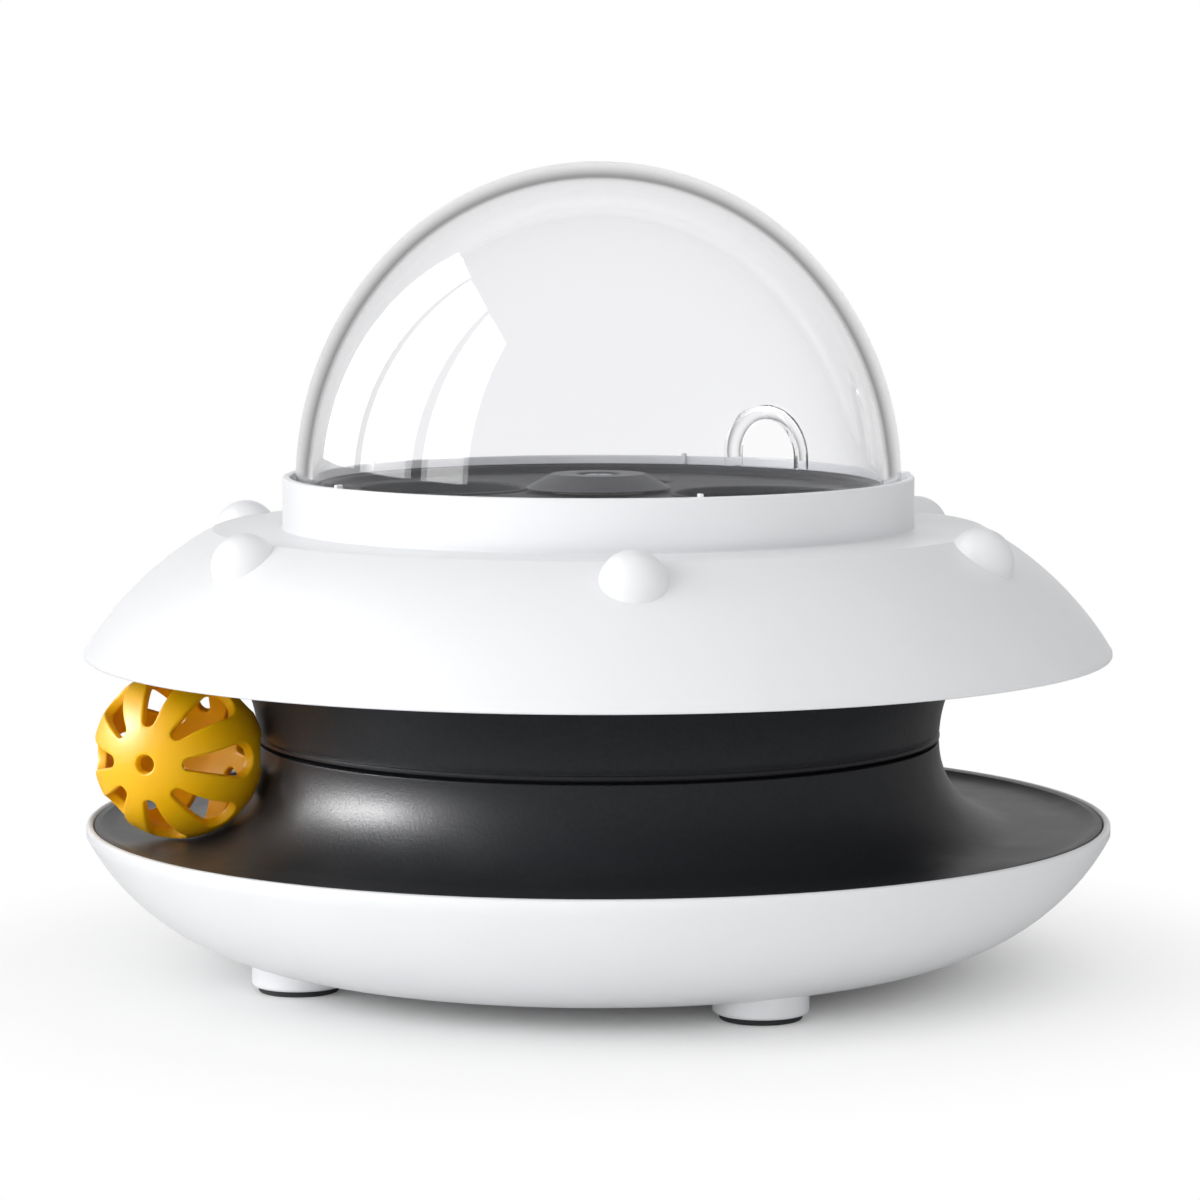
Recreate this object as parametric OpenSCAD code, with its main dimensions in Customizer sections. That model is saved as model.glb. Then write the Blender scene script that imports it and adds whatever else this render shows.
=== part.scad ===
// Cat treat dispenser toy: a saucer-shaped top with a clear treat dome spins on a
// ball-track base. Millimetres, +Z up, origin on the ground under the middle of the base.
// Angles round the toy are counted from the front (-Y) towards the right (+X).

/* [Base bowl] */
// Outer radius of the base bowl at its rim
bowl_r = 120; // [114:0.5:128]
// Height of the bowl from its flat underside to the top of its rim
bowl_h = 31.2; // [27:0.1:36]
// Radius of the curve in the bowl's side
bowl_curve_r = 54; // [46:0.5:62]
// Wall of the bowl
bowl_wall = 2.4; // [2:0.1:3.2]
// Straight band at the top of the bowl's side
rim_band = 2.4; // [1.8:0.1:4]
// Width of the rounded lip outside the track
rim_lip = 1.7; // [1.2:0.1:2.4]
// Width of the ledge that the track tray sits on
tray_seat_w = 3.2; // [2.4:0.1:5]

/* [Feet] */
// Height of the bowl's underside above the ground
foot_h = 4; // [3.2:0.1:8]
// Diameter of a foot boss
foot_d = 21.5; // [20:0.5:26]
// Radius of the circle that the feet stand on
foot_circle_r = 77.2; // [68:0.1:84]
// Angle of the right front foot
foot_turn = 27.7; // [0:0.1:60]
// Diameter of a rubber pad
pad_d = 18.5; // [14:0.5:19.4]
// Height of a pad below its foot boss
pad_proud = 1.4; // [1:0.1:2.4]
// Depth of a pad inside its foot boss
pad_seat = 1.2; // [0.8:0.1:2]
// Rounding of a pad's lower edge
pad_round = 0.6; // [0.3:0.1:0.9]

/* [Ball and track] */
// Diameter of the play ball
ball_d = 39; // [35:0.5:43]
// Wall of the play ball
ball_wall = 2.4; // [1.8:0.1:3.2]
// Distance from the bowl's outer edge to the ball's path round the track
track_inset = 20; // [18:0.5:23]
// Angle of the ball on its path at rest
ball_angle = -74; // [-90:1:-60]
// Angle that the ball's pole points to
ball_pole_angle = -18; // [-60:1:60]
// Number of slots round each half of the ball
ball_slots = 8; // [6:1:9]
// Turn of the slots round the ball's pole
ball_slot_turn = 0; // [-45:1:45]
// Angle from the pole to a slot's narrow end
slot_from = 26; // [22:1:32]
// Angle from the pole to a slot's wide end
slot_to = 83; // [76:1:85]
// Radius of a slot's narrow end
slot_tip_r = 1.5; // [0.8:0.1:1.8]
// Radius of a slot's wide end
slot_end_r = 4; // [2.2:0.1:4.2]
// Diameter of the hole in each pole of the ball
pole_hole_d = 4.4; // [3:0.1:6]
// Wall of the track tray
tray_wall = 2.4; // [2:0.1:3]
// Depth of the tray's edge below the bowl's rim
tray_recess = 0.2; // [0.1:0.05:0.8]
// Depth of the track below the tray's edge
track_dish = 1.4; // [1:0.1:2]
// Radius of the curl at the track's outer side
curl_r = 6; // [4:0.5:8]
// Width of the flat lip outside the curl
tray_lip_w = 1.6; // [1.2:0.1:2.2]

/* [Neck] */
// Height of the groove between the tray and the spinning neck
groove_h = 0.8; // [0.6:0.1:1.6]
// Radius of the curve in the neck's side
neck_curve_r = 30; // [26:0.5:40]
// Wall of the neck
neck_wall = 2.4; // [2:0.1:3]
// Depth of the ceiling over the track above the saucer's lip
ceiling_recess = 2.4; // [2:0.1:4]
// Height of the web above the bottom of the neck
web_h = 8; // [7:0.1:10]
// Number of ribs on the web
web_ribs = 6; // [3:1:8]
// Width of the dust lip inside the neck
dust_lip_w = 2; // [1.6:0.1:3]

/* [Saucer] */
// Outer radius of the saucer at its lip
saucer_r = 120; // [114:0.5:128]
// Height of the saucer from its lip to the ledge round the collar
saucer_h = 29.4; // [26:0.1:33]
// Radius of the curve in the saucer's side
saucer_curve_r = 78; // [60:0.5:100]
// Wall of the saucer
saucer_wall = 2.6; // [2.2:0.1:3.2]
// Straight band at the saucer's lip
lip_band = 1.2; // [0.8:0.1:2]
// Outer radius of the collar
collar_r = 73.8; // [70:0.1:78]
// Height of the collar above the ledge
collar_h = 12.1; // [10.5:0.1:16]
// Wall of the collar
collar_wall = 1.7; // [1.4:0.1:2.4]
// Width of the ledge round the collar
ledge_w = 16.3; // [12:0.1:20]
// Number of domed bumps on the saucer
bumps = 6; // [4:1:8]
// Radius of a bump
bump_r = 7.7; // [6.5:0.1:9]
// Height of a bump above the saucer
bump_h = 6.2; // [4.5:0.1:6.4]
// Angle of the first bump
bump_turn = 4.5; // [0:0.5:60]
// Number of locating ribs inside the collar
collar_ribs = 5; // [3:1:5]
// Width of a locating rib
collar_rib_w = 1; // [0.8:0.1:2]
// Height of a locating rib above the collar
collar_rib_proud = 0.7; // [0.4:0.1:1.5]

/* [Treat floor] */
// Depth of the treat floor below the top of the collar
floor_drop = 4; // [3.4:0.1:5]
// Wall of the treat floor
floor_wall = 2.4; // [1.8:0.1:3]
// Height of the floor's raised edge
floor_edge_h = 1.9; // [1.2:0.1:2.4]
// Height of the floor's shelf above the ledge outside the collar
shelf_h = 1.5; // [0:0.1:2]
// Width of the shelf that carries the floor
shelf_w = 11; // [9.5:0.1:13]
// Number of treat wells
wells = 2; // [1:1:2]
// Diameter of a treat well
well_d = 39; // [30:0.5:41]
// Depth of a treat well
well_depth = 12; // [8:0.1:16]
// Angle of the first treat well
well_turn = 78; // [60:1:120]
// Diameter of the small well behind the hub
small_well_d = 14; // [10:0.5:18]
// Depth of the small well
small_well_depth = 8; // [4:0.1:10]
// Angle of the small well
small_well_angle = 161; // [150:1:200]
// Radius of the circle that the small well's middle is on
small_well_r = 34; // [30:0.5:40]
// Height of the lip round a treat well
well_lip_h = 0.5; // [0.3:0.1:0.8]

/* [Dome] */
// How much taller the dome is than a half ball
dome_rise = 3.75; // [1:0.05:12]
// Wall of the dome
dome_wall = 3.8; // [2.6:0.1:4.4]
// Height of the dome's foot below its widest level
dome_foot_h = 6.5; // [5:0.1:8]
// Angle of the treat outlet in the dome
outlet_angle = 141; // [0:1:359]
// Width of the treat outlet
outlet_w = 18; // [11:0.1:22]
// Height of the treat outlet's straight sides
outlet_side_h = 3; // [2:0.1:10]
// Width of the bead round the outlet
outlet_bead_w = 4.3; // [2.4:0.1:5]
// Height of the outlet's bead above the dome's faces
outlet_bead_h = 0.8; // [0.5:0.1:1.5]

/* [Spindle] */
// Radius of the spindle under the bushes
spindle_r = 10; // [8.5:0.1:11]
// Radius of the spindle's upper end
spindle_end_r = 7; // [6:0.1:8]
// Radius of the spindle's flange
spindle_flange_r = 24; // [23:0.5:30]
// Thickness of the spindle's flange
spindle_flange_t = 3; // [2.4:0.1:4]
// Radius of the spigot under the flange
spigot_r = 8; // [6:0.1:9]
// Wall of a bush
bush_wall = 2.5; // [2:0.1:3]
// Length of a bush
bush_l = 12; // [8:0.1:15]
// Wall of the sleeve round the bushes
sleeve_wall = 3; // [2.4:0.1:3.5]
// Thickness of the thrust washer
washer_t = 1.4; // [1:0.1:2]
// Radius of the hub cap at its base
hub_r = 17.5; // [14:0.1:19]
// Radius of the hub cap at its top
hub_top_r = 11; // [8:0.1:13]
// Height of the hub cap
hub_h = 3.5; // [3:0.1:4.5]
// Radius of the hole in the hub cap
hub_hole_r = 5.2; // [4.2:0.1:5.8]
// Depth of the hole in the hub cap
hub_hole_depth = 2; // [1.6:0.1:2.4]

/* [Fasteners] */
// Radius of a screw's shank
screw_r = 1.5; // [1.2:0.1:1.8]
// Radius of a screw's head
screw_head_r = 2.8; // [2.4:0.1:3.2]
// Height of a screw's head
screw_head_h = 1.8; // [1.4:0.1:2.2]
// Length of a long screw under its head
long_screw_l = 14; // [10:0.5:18]
// Length of a short screw under its head
short_screw_l = 8; // [6:0.5:9]
// Number of screws that hold the tray
tray_screw_count = 4; // [3:1:6]
// Number of screws that hold the spindle
spindle_screw_count = 3; // [3:1:6]
// Number of screws that hold the neck to the saucer
neck_screw_count = 6; // [3:1:6]
// Number of screws that hold the treat floor
floor_screw_count = 3; // [3:1:6]

/* [Fits] */
// Gap between the ball and the flare of the track
ball_gap = 0.5; // [0.3:0.05:1]
// Gap that the mouth of the track is less than the ball
ball_trap = 0.2; // [0.1:0.1:1]
// Radial clearance of the bushes on the spindle
running_fit = 0.05; // [0.02:0.01:0.1]
// Clearance between pieces that sit in one another
seat_fit = 0.1; // [0.05:0.01:0.2]
// Clearance between pieces that turn past each other
turn_gap = 0.1; // [0.05:0.01:0.3]
// Clearance round the dome's foot
dome_fit = 0.3; // [0.2:0.05:0.5]
// Clearance of a screw in its hole
screw_fit = 0.05; // [0.03:0.01:0.1]

/* [Hidden] */
$fn = 96;

white = "#ECEDEF";
black = "#242527";
yellow = "#F5B400";
clear = [0.92, 0.95, 0.97, 0.3];
steel = "#B9BCC0";
natural = "#E7E3D6";

// how far a cut passes through a face
cut = 1;
// how far a boss or rib runs into the wall that carries it
root = 0.5;

// number of feet
foot_count = 4;
// wall round a screw in a boss or post
boss_wall = 2.5;
// overlap of outlines that meet along a line
lap = 0.01;

// bowl
bowl_side_h = bowl_h - rim_band;
bowl_flat_r = bowl_r - sqrt(pow(bowl_curve_r, 2) - pow(bowl_curve_r - bowl_side_h, 2));
rim_z = foot_h + bowl_h;
screw_boss_h = screw_head_h + 2 * bowl_wall;

// track
track_r = bowl_r - track_inset;
ball_r = ball_d / 2;
ball_lift = 0.3;
flare_r = ball_r + ball_gap;
neck_r = track_r - flare_r;
tray_r = bowl_r - rim_lip - seat_fit;
tray_edge_z = rim_z - tray_recess;
track_z = tray_edge_z - track_dish;
// height of the track's flat above its low lines under the ball and beside the curl
track_crown = 0.1;
flat_z = track_z + track_crown;
curl_z = track_z + curl_r;
curl_centre_r = tray_r - tray_lip_w - sqrt(pow(curl_r, 2) - pow(curl_r - track_dish, 2));
tray_seat_r = tray_r - tray_seat_w;
tray_seat_gap = 0.02;
tray_seat_z = curl_z - tray_seat_gap
    - sqrt(pow(curl_r + tray_wall, 2) - pow(tray_seat_r - curl_centre_r, 2));
deck_z = track_z + flare_r;
ball_z = track_z + ball_lift + ball_r;
dust_lip_h = 4.5;
dust_lip_r = neck_r - neck_wall - dust_lip_w - cut;
post_r = screw_r + boss_wall;
post_inset = 18;
post_circle_r = neck_r - post_inset;
tray_screw_turn = 45;
post_z = foot_h + screw_boss_h;

// saucer
lip_z = rim_z + ball_d - ball_trap;
ledge_z = lip_z + saucer_h;
ledge_r = collar_r + ledge_w;
collar_z = ledge_z + collar_h;
collar_in_r = collar_r - collar_wall;
saucer_edge = [saucer_r, lip_z + lip_band];
saucer_crease = [ledge_r, ledge_z];
saucer_chord = saucer_edge - saucer_crease;
saucer_normal = [-saucer_chord.y, saucer_chord.x] / norm(saucer_chord);
saucer_reach = sqrt(pow(saucer_curve_r, 2) - pow(norm(saucer_chord) / 2, 2));
saucer_centre = (saucer_edge + saucer_crease) / 2 - saucer_normal * saucer_reach;
saucer_in_r = saucer_curve_r - saucer_wall;
// distance of a bump's centre from the crease, as a share of its radius
bump_inset = 0.77;
collar_rib_turn = 18;

// neck
neck_z = deck_z + groove_h;
ceiling_z = lip_z + ceiling_recess;
ceiling_top_z = ceiling_z + neck_wall;
neck_centre = [neck_r + neck_curve_r, neck_z];
neck_h = ceiling_z - neck_z;
flange_in_r = neck_centre.x - sqrt(pow(neck_curve_r + neck_wall, 2) - pow(neck_h, 2));
flange_gap = 1.4;
flange_r = saucer_centre.x - flange_gap
    + sqrt(pow(saucer_in_r, 2) - pow(ceiling_top_z - saucer_centre.y, 2));
web_z = neck_z + web_h;
flange_margin = 2.7;
neck_screw_circle_r = flange_r - screw_head_r - flange_margin;
neck_screw_turn = bump_turn + 180 / bumps;
neck_boss_r = screw_r + boss_wall;

// treat floor
floor_z = collar_z - floor_drop;
floor_edge_z = floor_z + floor_edge_h;
shelf_z = ledge_z + shelf_h;
shelf_r = collar_in_r - shelf_w;
floor_r = collar_in_r - seat_fit;
floor_ring_gap = 1;
floor_ring_r = shelf_r + floor_ring_gap;
groove_wall = 0.95;
dome_r = floor_r - groove_wall - dome_fit;
groove_out_r = dome_r + dome_fit;
groove_floor_t = 2.5;
groove_z = shelf_z + groove_floor_t;
floor_edge_w = 1.6;
well_wall = 1.8;
well_margin = 1.7;
well_circle_r = shelf_r - well_wall - well_margin - well_d / 2;
well_lip_w = 1.4;
well_floor_z = floor_z - well_depth;
floor_bore_gap = 2;
floor_bore_r = spindle_end_r + floor_bore_gap;
floor_skin = 1;

// dome
dome_foot_z = groove_z + turn_gap;
dome_eq_z = dome_foot_z + dome_foot_h;
dome_joint_angle = 45;
dome_h = dome_r + dome_rise;
dome_spread = dome_rise / (cos(dome_joint_angle) + sin(dome_joint_angle) - 1);
dome_side_r = dome_r + dome_spread * cos(dome_joint_angle);
dome_top_r = dome_h - dome_spread * sin(dome_joint_angle);
dome_top_z = dome_eq_z + dome_h - dome_top_r;
dome_foot_r = dome_r - dome_side_r + sqrt(pow(dome_side_r, 2) - pow(dome_foot_h, 2));
groove_in_r = dome_foot_r - dome_wall - dome_fit;
floor_screw_circle_r = (floor_ring_r + groove_in_r) / 2;
outlet_gap = 0.2;
outlet_z = floor_edge_z + outlet_gap;

// spindle
spindle_z = deck_z + spindle_flange_t;
washer_r = spindle_r + bush_wall + sleeve_wall;
screw_margin = 1.2;
spindle_screw_circle_r = washer_r + screw_head_r + screw_margin;
spindle_boss_r = screw_r + boss_wall;
screw_end_gap = 1;
spindle_boss_l = short_screw_l - spindle_flange_t - tray_wall + screw_end_gap + root;
sleeve_z = spindle_z + washer_t + turn_gap;
sleeve_gap = 1.2;
sleeve_top_z = well_floor_z - well_wall - sleeve_gap;
bush_r = spindle_r + running_fit + bush_wall;
slip_inset = 6;
lip_gap = 0.2;
slip_t = well_lip_h + lip_gap;
hub_z = floor_z + turn_gap + slip_t;
hub_screw_r = 2;
hub_screw_l = 16;

function around(count, turn = 0) = [for (i = [0 : count - 1]) turn + i * 360 / count];

// moves its children out to a radius at an angle from the front
module at_angle(angle, radius, z = 0) {
    rotate([0, 0, angle - 90]) translate([radius, 0, z]) children();
}

module tube(outer_r, inner_r, z, h) {
    translate([0, 0, z]) difference() {
        cylinder(r = outer_r, h = h);
        translate([0, 0, -cut]) cylinder(r = inner_r, h = h + 2 * cut);
    }
}

// a pan-head screw with its head's underside at z = 0, pointing down
module screw(length) {
    cylinder(r = screw_head_r, h = screw_head_h);
    translate([0, 0, -length]) cylinder(r = screw_r, h = length);
}

module screw_hole(depth) {
    translate([0, 0, -depth]) cylinder(r = screw_r + screw_fit, h = depth + cut);
}

// outline of the bowl, drawn in from its outer face by a wall
module bowl_outline(wall) {
    translate([0, foot_h + wall]) square([bowl_flat_r, bowl_h - wall - rim_lip / 2]);
    intersection() {
        translate([bowl_flat_r, foot_h + bowl_curve_r]) circle(bowl_curve_r - wall);
        translate([0, foot_h]) square([bowl_r, bowl_h - rim_lip / 2]);
    }
}

module bowl_outer() {
    bowl_outline(0);
    translate([bowl_r - rim_lip / 2, rim_z - rim_lip / 2]) circle(rim_lip / 2);
}

module bowl_inner() {
    intersection() {
        bowl_outline(bowl_wall);
        square([tray_seat_r, tray_seat_z]);
    }
    translate([0, tray_seat_z - lap]) square([bowl_r - rim_lip, bowl_h]);
}

module base_bowl() {
    color(white) difference() {
        union() {
            difference() {
                union() {
                    rotate_extrude() bowl_outer();
                    for (a = around(foot_count, foot_turn))
                        at_angle(a, foot_circle_r, pad_proud)
                            cylinder(d = foot_d, h = foot_h + bowl_side_h / 2);
                }
                rotate_extrude() bowl_inner();
            }
            for (a = around(tray_screw_count, tray_screw_turn))
                at_angle(a, post_circle_r, foot_h)
                    cylinder(r = screw_head_r + bowl_wall, h = screw_boss_h);
        }
        for (a = around(foot_count, foot_turn))
            at_angle(a, foot_circle_r, pad_proud - cut)
                cylinder(d = pad_d + 2 * seat_fit, h = pad_seat + cut);
        for (a = around(tray_screw_count, tray_screw_turn))
            at_angle(a, post_circle_r, foot_h) {
                translate([0, 0, -cut])
                    cylinder(r = screw_head_r + seat_fit, h = screw_boss_h - bowl_wall + cut);
                cylinder(r = screw_r + screw_fit, h = screw_boss_h + cut);
            }
    }
}

// rubber pad with a rounded lower edge
module foot_pad(index) {
    color(black) at_angle(foot_turn + index * 360 / foot_count, foot_circle_r) rotate_extrude() {
        translate([0, pad_round]) square([pad_d / 2, pad_proud + pad_seat - pad_round]);
        square([pad_d / 2 - pad_round, pad_round + lap]);
        translate([pad_d / 2 - pad_round, pad_round]) circle(pad_round);
    }
}

// everything below the tray's upper face, lowered by a depth
module below_tray(depth) {
    past_r = tray_r + cut;
    difference() {
        square([tray_r, deck_z - depth]);
        translate([track_r, deck_z]) circle(flare_r + depth);
        translate([curl_centre_r, curl_z]) circle(curl_r + depth);
        translate([track_r, flat_z - depth]) square([curl_centre_r - track_r, flare_r]);
        translate([track_r, tray_edge_z - depth]) square([past_r - track_r, flare_r]);
    }
}

// section of the tray: track, flare up to the neck, deck and dust lip
module tray_section() {
    difference() {
        below_tray(0);
        below_tray(tray_wall);
        square([spigot_r + seat_fit, deck_z + cut]);
    }
    translate([dust_lip_r, deck_z - tray_wall]) square([dust_lip_w, tray_wall + dust_lip_h]);
}

module track_tray() {
    color(black) difference() {
        union() {
            rotate_extrude() tray_section();
            for (a = around(tray_screw_count, tray_screw_turn))
                at_angle(a, post_circle_r, post_z)
                    cylinder(r = post_r, h = deck_z - tray_wall - post_z + root);
            for (a = around(spindle_screw_count))
                at_angle(a, spindle_screw_circle_r, deck_z - tray_wall - spindle_boss_l)
                    cylinder(r = spindle_boss_r, h = spindle_boss_l + root);
        }
        for (a = around(tray_screw_count, tray_screw_turn))
            at_angle(a, post_circle_r, post_z) rotate([180, 0, 0]) screw_hole(long_screw_l);
        for (a = around(spindle_screw_count))
            at_angle(a, spindle_screw_circle_r, spindle_z) screw_hole(short_screw_l + screw_end_gap);
    }
}

module tray_screws() {
    color(steel) for (a = around(tray_screw_count, tray_screw_turn))
        at_angle(a, post_circle_r, post_z - bowl_wall) rotate([180, 0, 0]) screw(long_screw_l);
}

// fixed shaft that the top spins on
module spindle() {
    color(natural) difference() {
        union() {
            translate([0, 0, deck_z - tray_wall]) cylinder(r = spigot_r, h = tray_wall + cut);
            translate([0, 0, deck_z]) cylinder(r = spindle_flange_r, h = spindle_flange_t);
            translate([0, 0, deck_z]) cylinder(r = spindle_r, h = sleeve_top_z - deck_z);
            translate([0, 0, deck_z]) cylinder(r = spindle_end_r, h = hub_z - deck_z);
        }
        for (a = around(spindle_screw_count))
            at_angle(a, spindle_screw_circle_r, spindle_z) screw_hole(spindle_flange_t + cut);
        translate([0, 0, hub_z - hub_screw_l])
            cylinder(r = hub_screw_r + screw_fit, h = hub_screw_l + cut);
    }
}

module spindle_screws() {
    color(steel) for (a = around(spindle_screw_count))
        at_angle(a, spindle_screw_circle_r, spindle_z) screw(short_screw_l);
}

module thrust_washer() {
    color(natural) tube(washer_r, spindle_r + seat_fit, spindle_z, washer_t);
}

module slip_washer() {
    color(natural) tube(hub_r - slip_inset, spindle_end_r + seat_fit, hub_z - slip_t, slip_t);
}

// low cone that keeps the top on its spindle
module hub_cap() {
    color(black) translate([0, 0, hub_z]) difference() {
        cylinder(r1 = hub_r, r2 = hub_top_r, h = hub_h);
        translate([0, 0, hub_h - hub_hole_depth]) cylinder(r = hub_hole_r, h = hub_hole_depth + cut);
        translate([0, 0, -cut]) cylinder(r = hub_screw_r + screw_fit, h = hub_h + 2 * cut);
    }
}

module hub_screw() {
    hub_screw_z = hub_z + hub_h - hub_hole_depth;
    head_r = hub_hole_r - 0.7;
    head_h = hub_hole_depth - 0.3;
    slot_depth = 0.8;
    color(steel) translate([0, 0, hub_screw_z]) difference() {
        union() {
            cylinder(r = head_r, h = head_h);
            translate([0, 0, -hub_screw_l + hub_h])
                cylinder(r = hub_screw_r, h = hub_screw_l - hub_h);
        }
        for (turn = [0, 90])
            rotate([0, 0, turn])
                translate([-hub_screw_r, -slot_depth / 2, head_h - slot_depth])
                    cube([2 * hub_screw_r, slot_depth, slot_depth + cut]);
    }
}

// section of the spinning neck: curved wall, ceiling over the track, web and sleeve
module neck_section() {
    intersection() {
        translate(neck_centre) difference() {
            circle(neck_curve_r + neck_wall);
            circle(neck_curve_r);
        }
        translate([0, neck_z]) square([neck_centre.x, neck_h + neck_wall]);
    }
    translate([flange_in_r, ceiling_z]) square([flange_r - flange_in_r, neck_wall]);
    translate([bush_r + seat_fit, web_z]) square([neck_r - neck_wall / 2 - bush_r, neck_wall]);
    translate([bush_r + seat_fit, sleeve_z]) square([sleeve_wall, sleeve_top_z - sleeve_z]);
}

module neck_hood() {
    rib_w = neck_wall;
    rib_h = neck_h - web_h;
    color(black) difference() {
        union() {
            rotate_extrude() neck_section();
            for (a = around(web_ribs, 180 / web_ribs))
                at_angle(a, bush_r + cut, web_z + neck_wall / 2)
                    translate([0, -rib_w / 2, 0]) cube([neck_r - bush_r - neck_wall, rib_w, rib_h]);
        }
        for (a = around(neck_screw_count, neck_screw_turn))
            at_angle(a, neck_screw_circle_r, ceiling_z - cut)
                cylinder(r = screw_r + screw_fit, h = neck_wall + 2 * cut);
    }
}

// plain bush pressed in the sleeve and running on the spindle
module bush(z) {
    color(natural) tube(bush_r, spindle_r + running_fit, z, bush_l);
}

module lower_bush() {
    bush(sleeve_z);
}

module upper_bush() {
    bush(sleeve_top_z - bush_l);
}

// section of the saucer's outer form without the collar's hollow
module saucer_outer() {
    intersection() {
        translate(saucer_centre) circle(saucer_curve_r);
        translate([0, lip_z]) square([saucer_r, saucer_h]);
    }
    translate([0, ledge_z - cut]) square([collar_r, collar_h + cut]);
}

module saucer_inner() {
    intersection() {
        translate(saucer_centre) circle(saucer_in_r);
        translate([0, lip_z - cut]) square([saucer_r - saucer_wall, saucer_h - saucer_wall + cut]);
    }
    translate([0, lip_z]) square([shelf_r, saucer_h + collar_h + cut]);
    translate([0, shelf_z]) square([collar_in_r, collar_h + cut]);
}

// moves its children to a bump's centre, with +Z out of the saucer's face
module at_bump(angle) {
    bump_slope = asin((ledge_r + bump_inset * bump_r - saucer_centre.x) / saucer_curve_r);
    at_angle(angle, saucer_centre.x, saucer_centre.y) rotate([0, bump_slope, 0])
        translate([0, 0, saucer_curve_r + bump_h - bump_r]) children();
}

module saucer_cover() {
    color(white) difference() {
        union() {
            difference() {
                union() {
                    rotate_extrude() saucer_outer();
                    for (a = around(bumps, bump_turn)) at_bump(a) sphere(bump_r);
                }
                rotate_extrude() saucer_inner();
                for (a = around(bumps, bump_turn)) at_bump(a) sphere(bump_r - saucer_wall);
            }
            intersection() {
                for (a = around(neck_screw_count, neck_screw_turn))
                    at_angle(a, neck_screw_circle_r, ceiling_top_z)
                        cylinder(r = neck_boss_r, h = saucer_h);
                rotate_extrude() saucer_outer();
            }
            for (a = around(collar_ribs, collar_rib_turn))
                at_angle(a, groove_out_r + seat_fit, floor_edge_z + seat_fit)
                    translate([0, -collar_rib_w / 2, 0])
                        cube([collar_r - collar_wall / 2 - groove_out_r, collar_rib_w,
                            collar_z - floor_edge_z - seat_fit + collar_rib_proud]);
        }
        for (a = around(neck_screw_count, neck_screw_turn))
            at_angle(a, neck_screw_circle_r, ceiling_top_z)
                rotate([180, 0, 0]) screw_hole(short_screw_l - neck_wall);
        for (a = around(floor_screw_count))
            at_angle(a, floor_screw_circle_r, ledge_z - saucer_wall - cut)
                cylinder(r = screw_r + screw_fit, h = saucer_h);
    }
}

module neck_screws() {
    color(steel) for (a = around(neck_screw_count, neck_screw_turn))
        at_angle(a, neck_screw_circle_r, ceiling_z) rotate([180, 0, 0]) screw(short_screw_l);
}

// section of the treat floor: plate, raised edge and the groove for the dome's foot
module floor_section() {
    translate([floor_bore_r, floor_z - floor_wall])
        square([floor_ring_r - floor_bore_r + cut, floor_wall]);
    translate([floor_ring_r, shelf_z]) square([groove_in_r - floor_ring_r, floor_z - shelf_z]);
    translate([groove_in_r - floor_edge_w, shelf_z]) square([floor_edge_w, floor_edge_z - shelf_z]);
    translate([groove_in_r - cut, shelf_z]) square([floor_r - groove_in_r + cut, groove_z - shelf_z]);
    translate([groove_out_r, shelf_z]) square([floor_r - groove_out_r, floor_edge_z - shelf_z]);
}

module treat_floor() {
    color(black) difference() {
        union() {
            rotate_extrude() floor_section();
            for (a = around(wells, well_turn))
                at_angle(a, well_circle_r, well_floor_z - well_wall) {
                    cylinder(r = well_d / 2 + well_wall, h = well_depth + well_wall);
                    cylinder(r = well_d / 2 + well_lip_w, h = well_depth + well_wall + well_lip_h);
                }
            at_angle(small_well_angle, small_well_r, floor_z - small_well_depth - well_wall)
                cylinder(r = small_well_d / 2 + well_wall, h = small_well_depth + well_wall);
        }
        for (a = around(wells, well_turn))
            at_angle(a, well_circle_r, well_floor_z)
                cylinder(d = well_d, h = well_depth + well_lip_h + cut);
        at_angle(small_well_angle, small_well_r, floor_z - small_well_depth)
            cylinder(d = small_well_d, h = small_well_depth + cut);
        for (a = around(floor_screw_count))
            at_angle(a, floor_screw_circle_r, shelf_z)
                rotate([180, 0, 0]) screw_hole(floor_z - shelf_z - floor_skin);
    }
}

module floor_screws() {
    color(steel) for (a = around(floor_screw_count))
        at_angle(a, floor_screw_circle_r, ledge_z - saucer_wall)
            rotate([180, 0, 0]) screw(short_screw_l);
}

// section of the dome's solid form, grown outwards by a margin
module dome_form(grow) {
    reach = dome_r + dome_h;
    intersection() {
        translate([0, dome_top_z]) circle(dome_top_r + grow);
        polygon([[0, dome_top_z], [reach, dome_top_z + reach], [0, dome_top_z + reach]]);
    }
    intersection() {
        translate([dome_r - dome_side_r, dome_eq_z]) circle(dome_side_r + grow);
        polygon([
            [0, dome_foot_z], [reach, dome_foot_z], [reach, dome_top_z + reach], [0, dome_top_z]
        ]);
    }
}

module dome_section(outside, inside) {
    difference() {
        dome_form(outside);
        dome_form(-inside);
    }
}

// arch-shaped block through the dome's wall
module outlet_block(width) {
    block_l = 6 * dome_wall;
    block_r = dome_r - block_l / 2;
    at_angle(outlet_angle, block_r, outlet_z) {
        intersection() {
            translate([0, 0, outlet_side_h]) rotate([0, 90, 0]) cylinder(d = width, h = block_l);
            translate([-cut, -width, 0]) cube([block_l + 2 * cut, 2 * width, 2 * width]);
        }
        translate([0, -width / 2, 0]) cube([block_l, width, outlet_side_h]);
    }
}

module dome() {
    color(clear) difference() {
        union() {
            rotate_extrude() dome_section(0, dome_wall);
            intersection() {
                outlet_block(outlet_w + 2 * outlet_bead_w);
                rotate_extrude() dome_section(outlet_bead_h, dome_wall + outlet_bead_h);
            }
        }
        outlet_block(outlet_w);
    }
}

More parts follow.
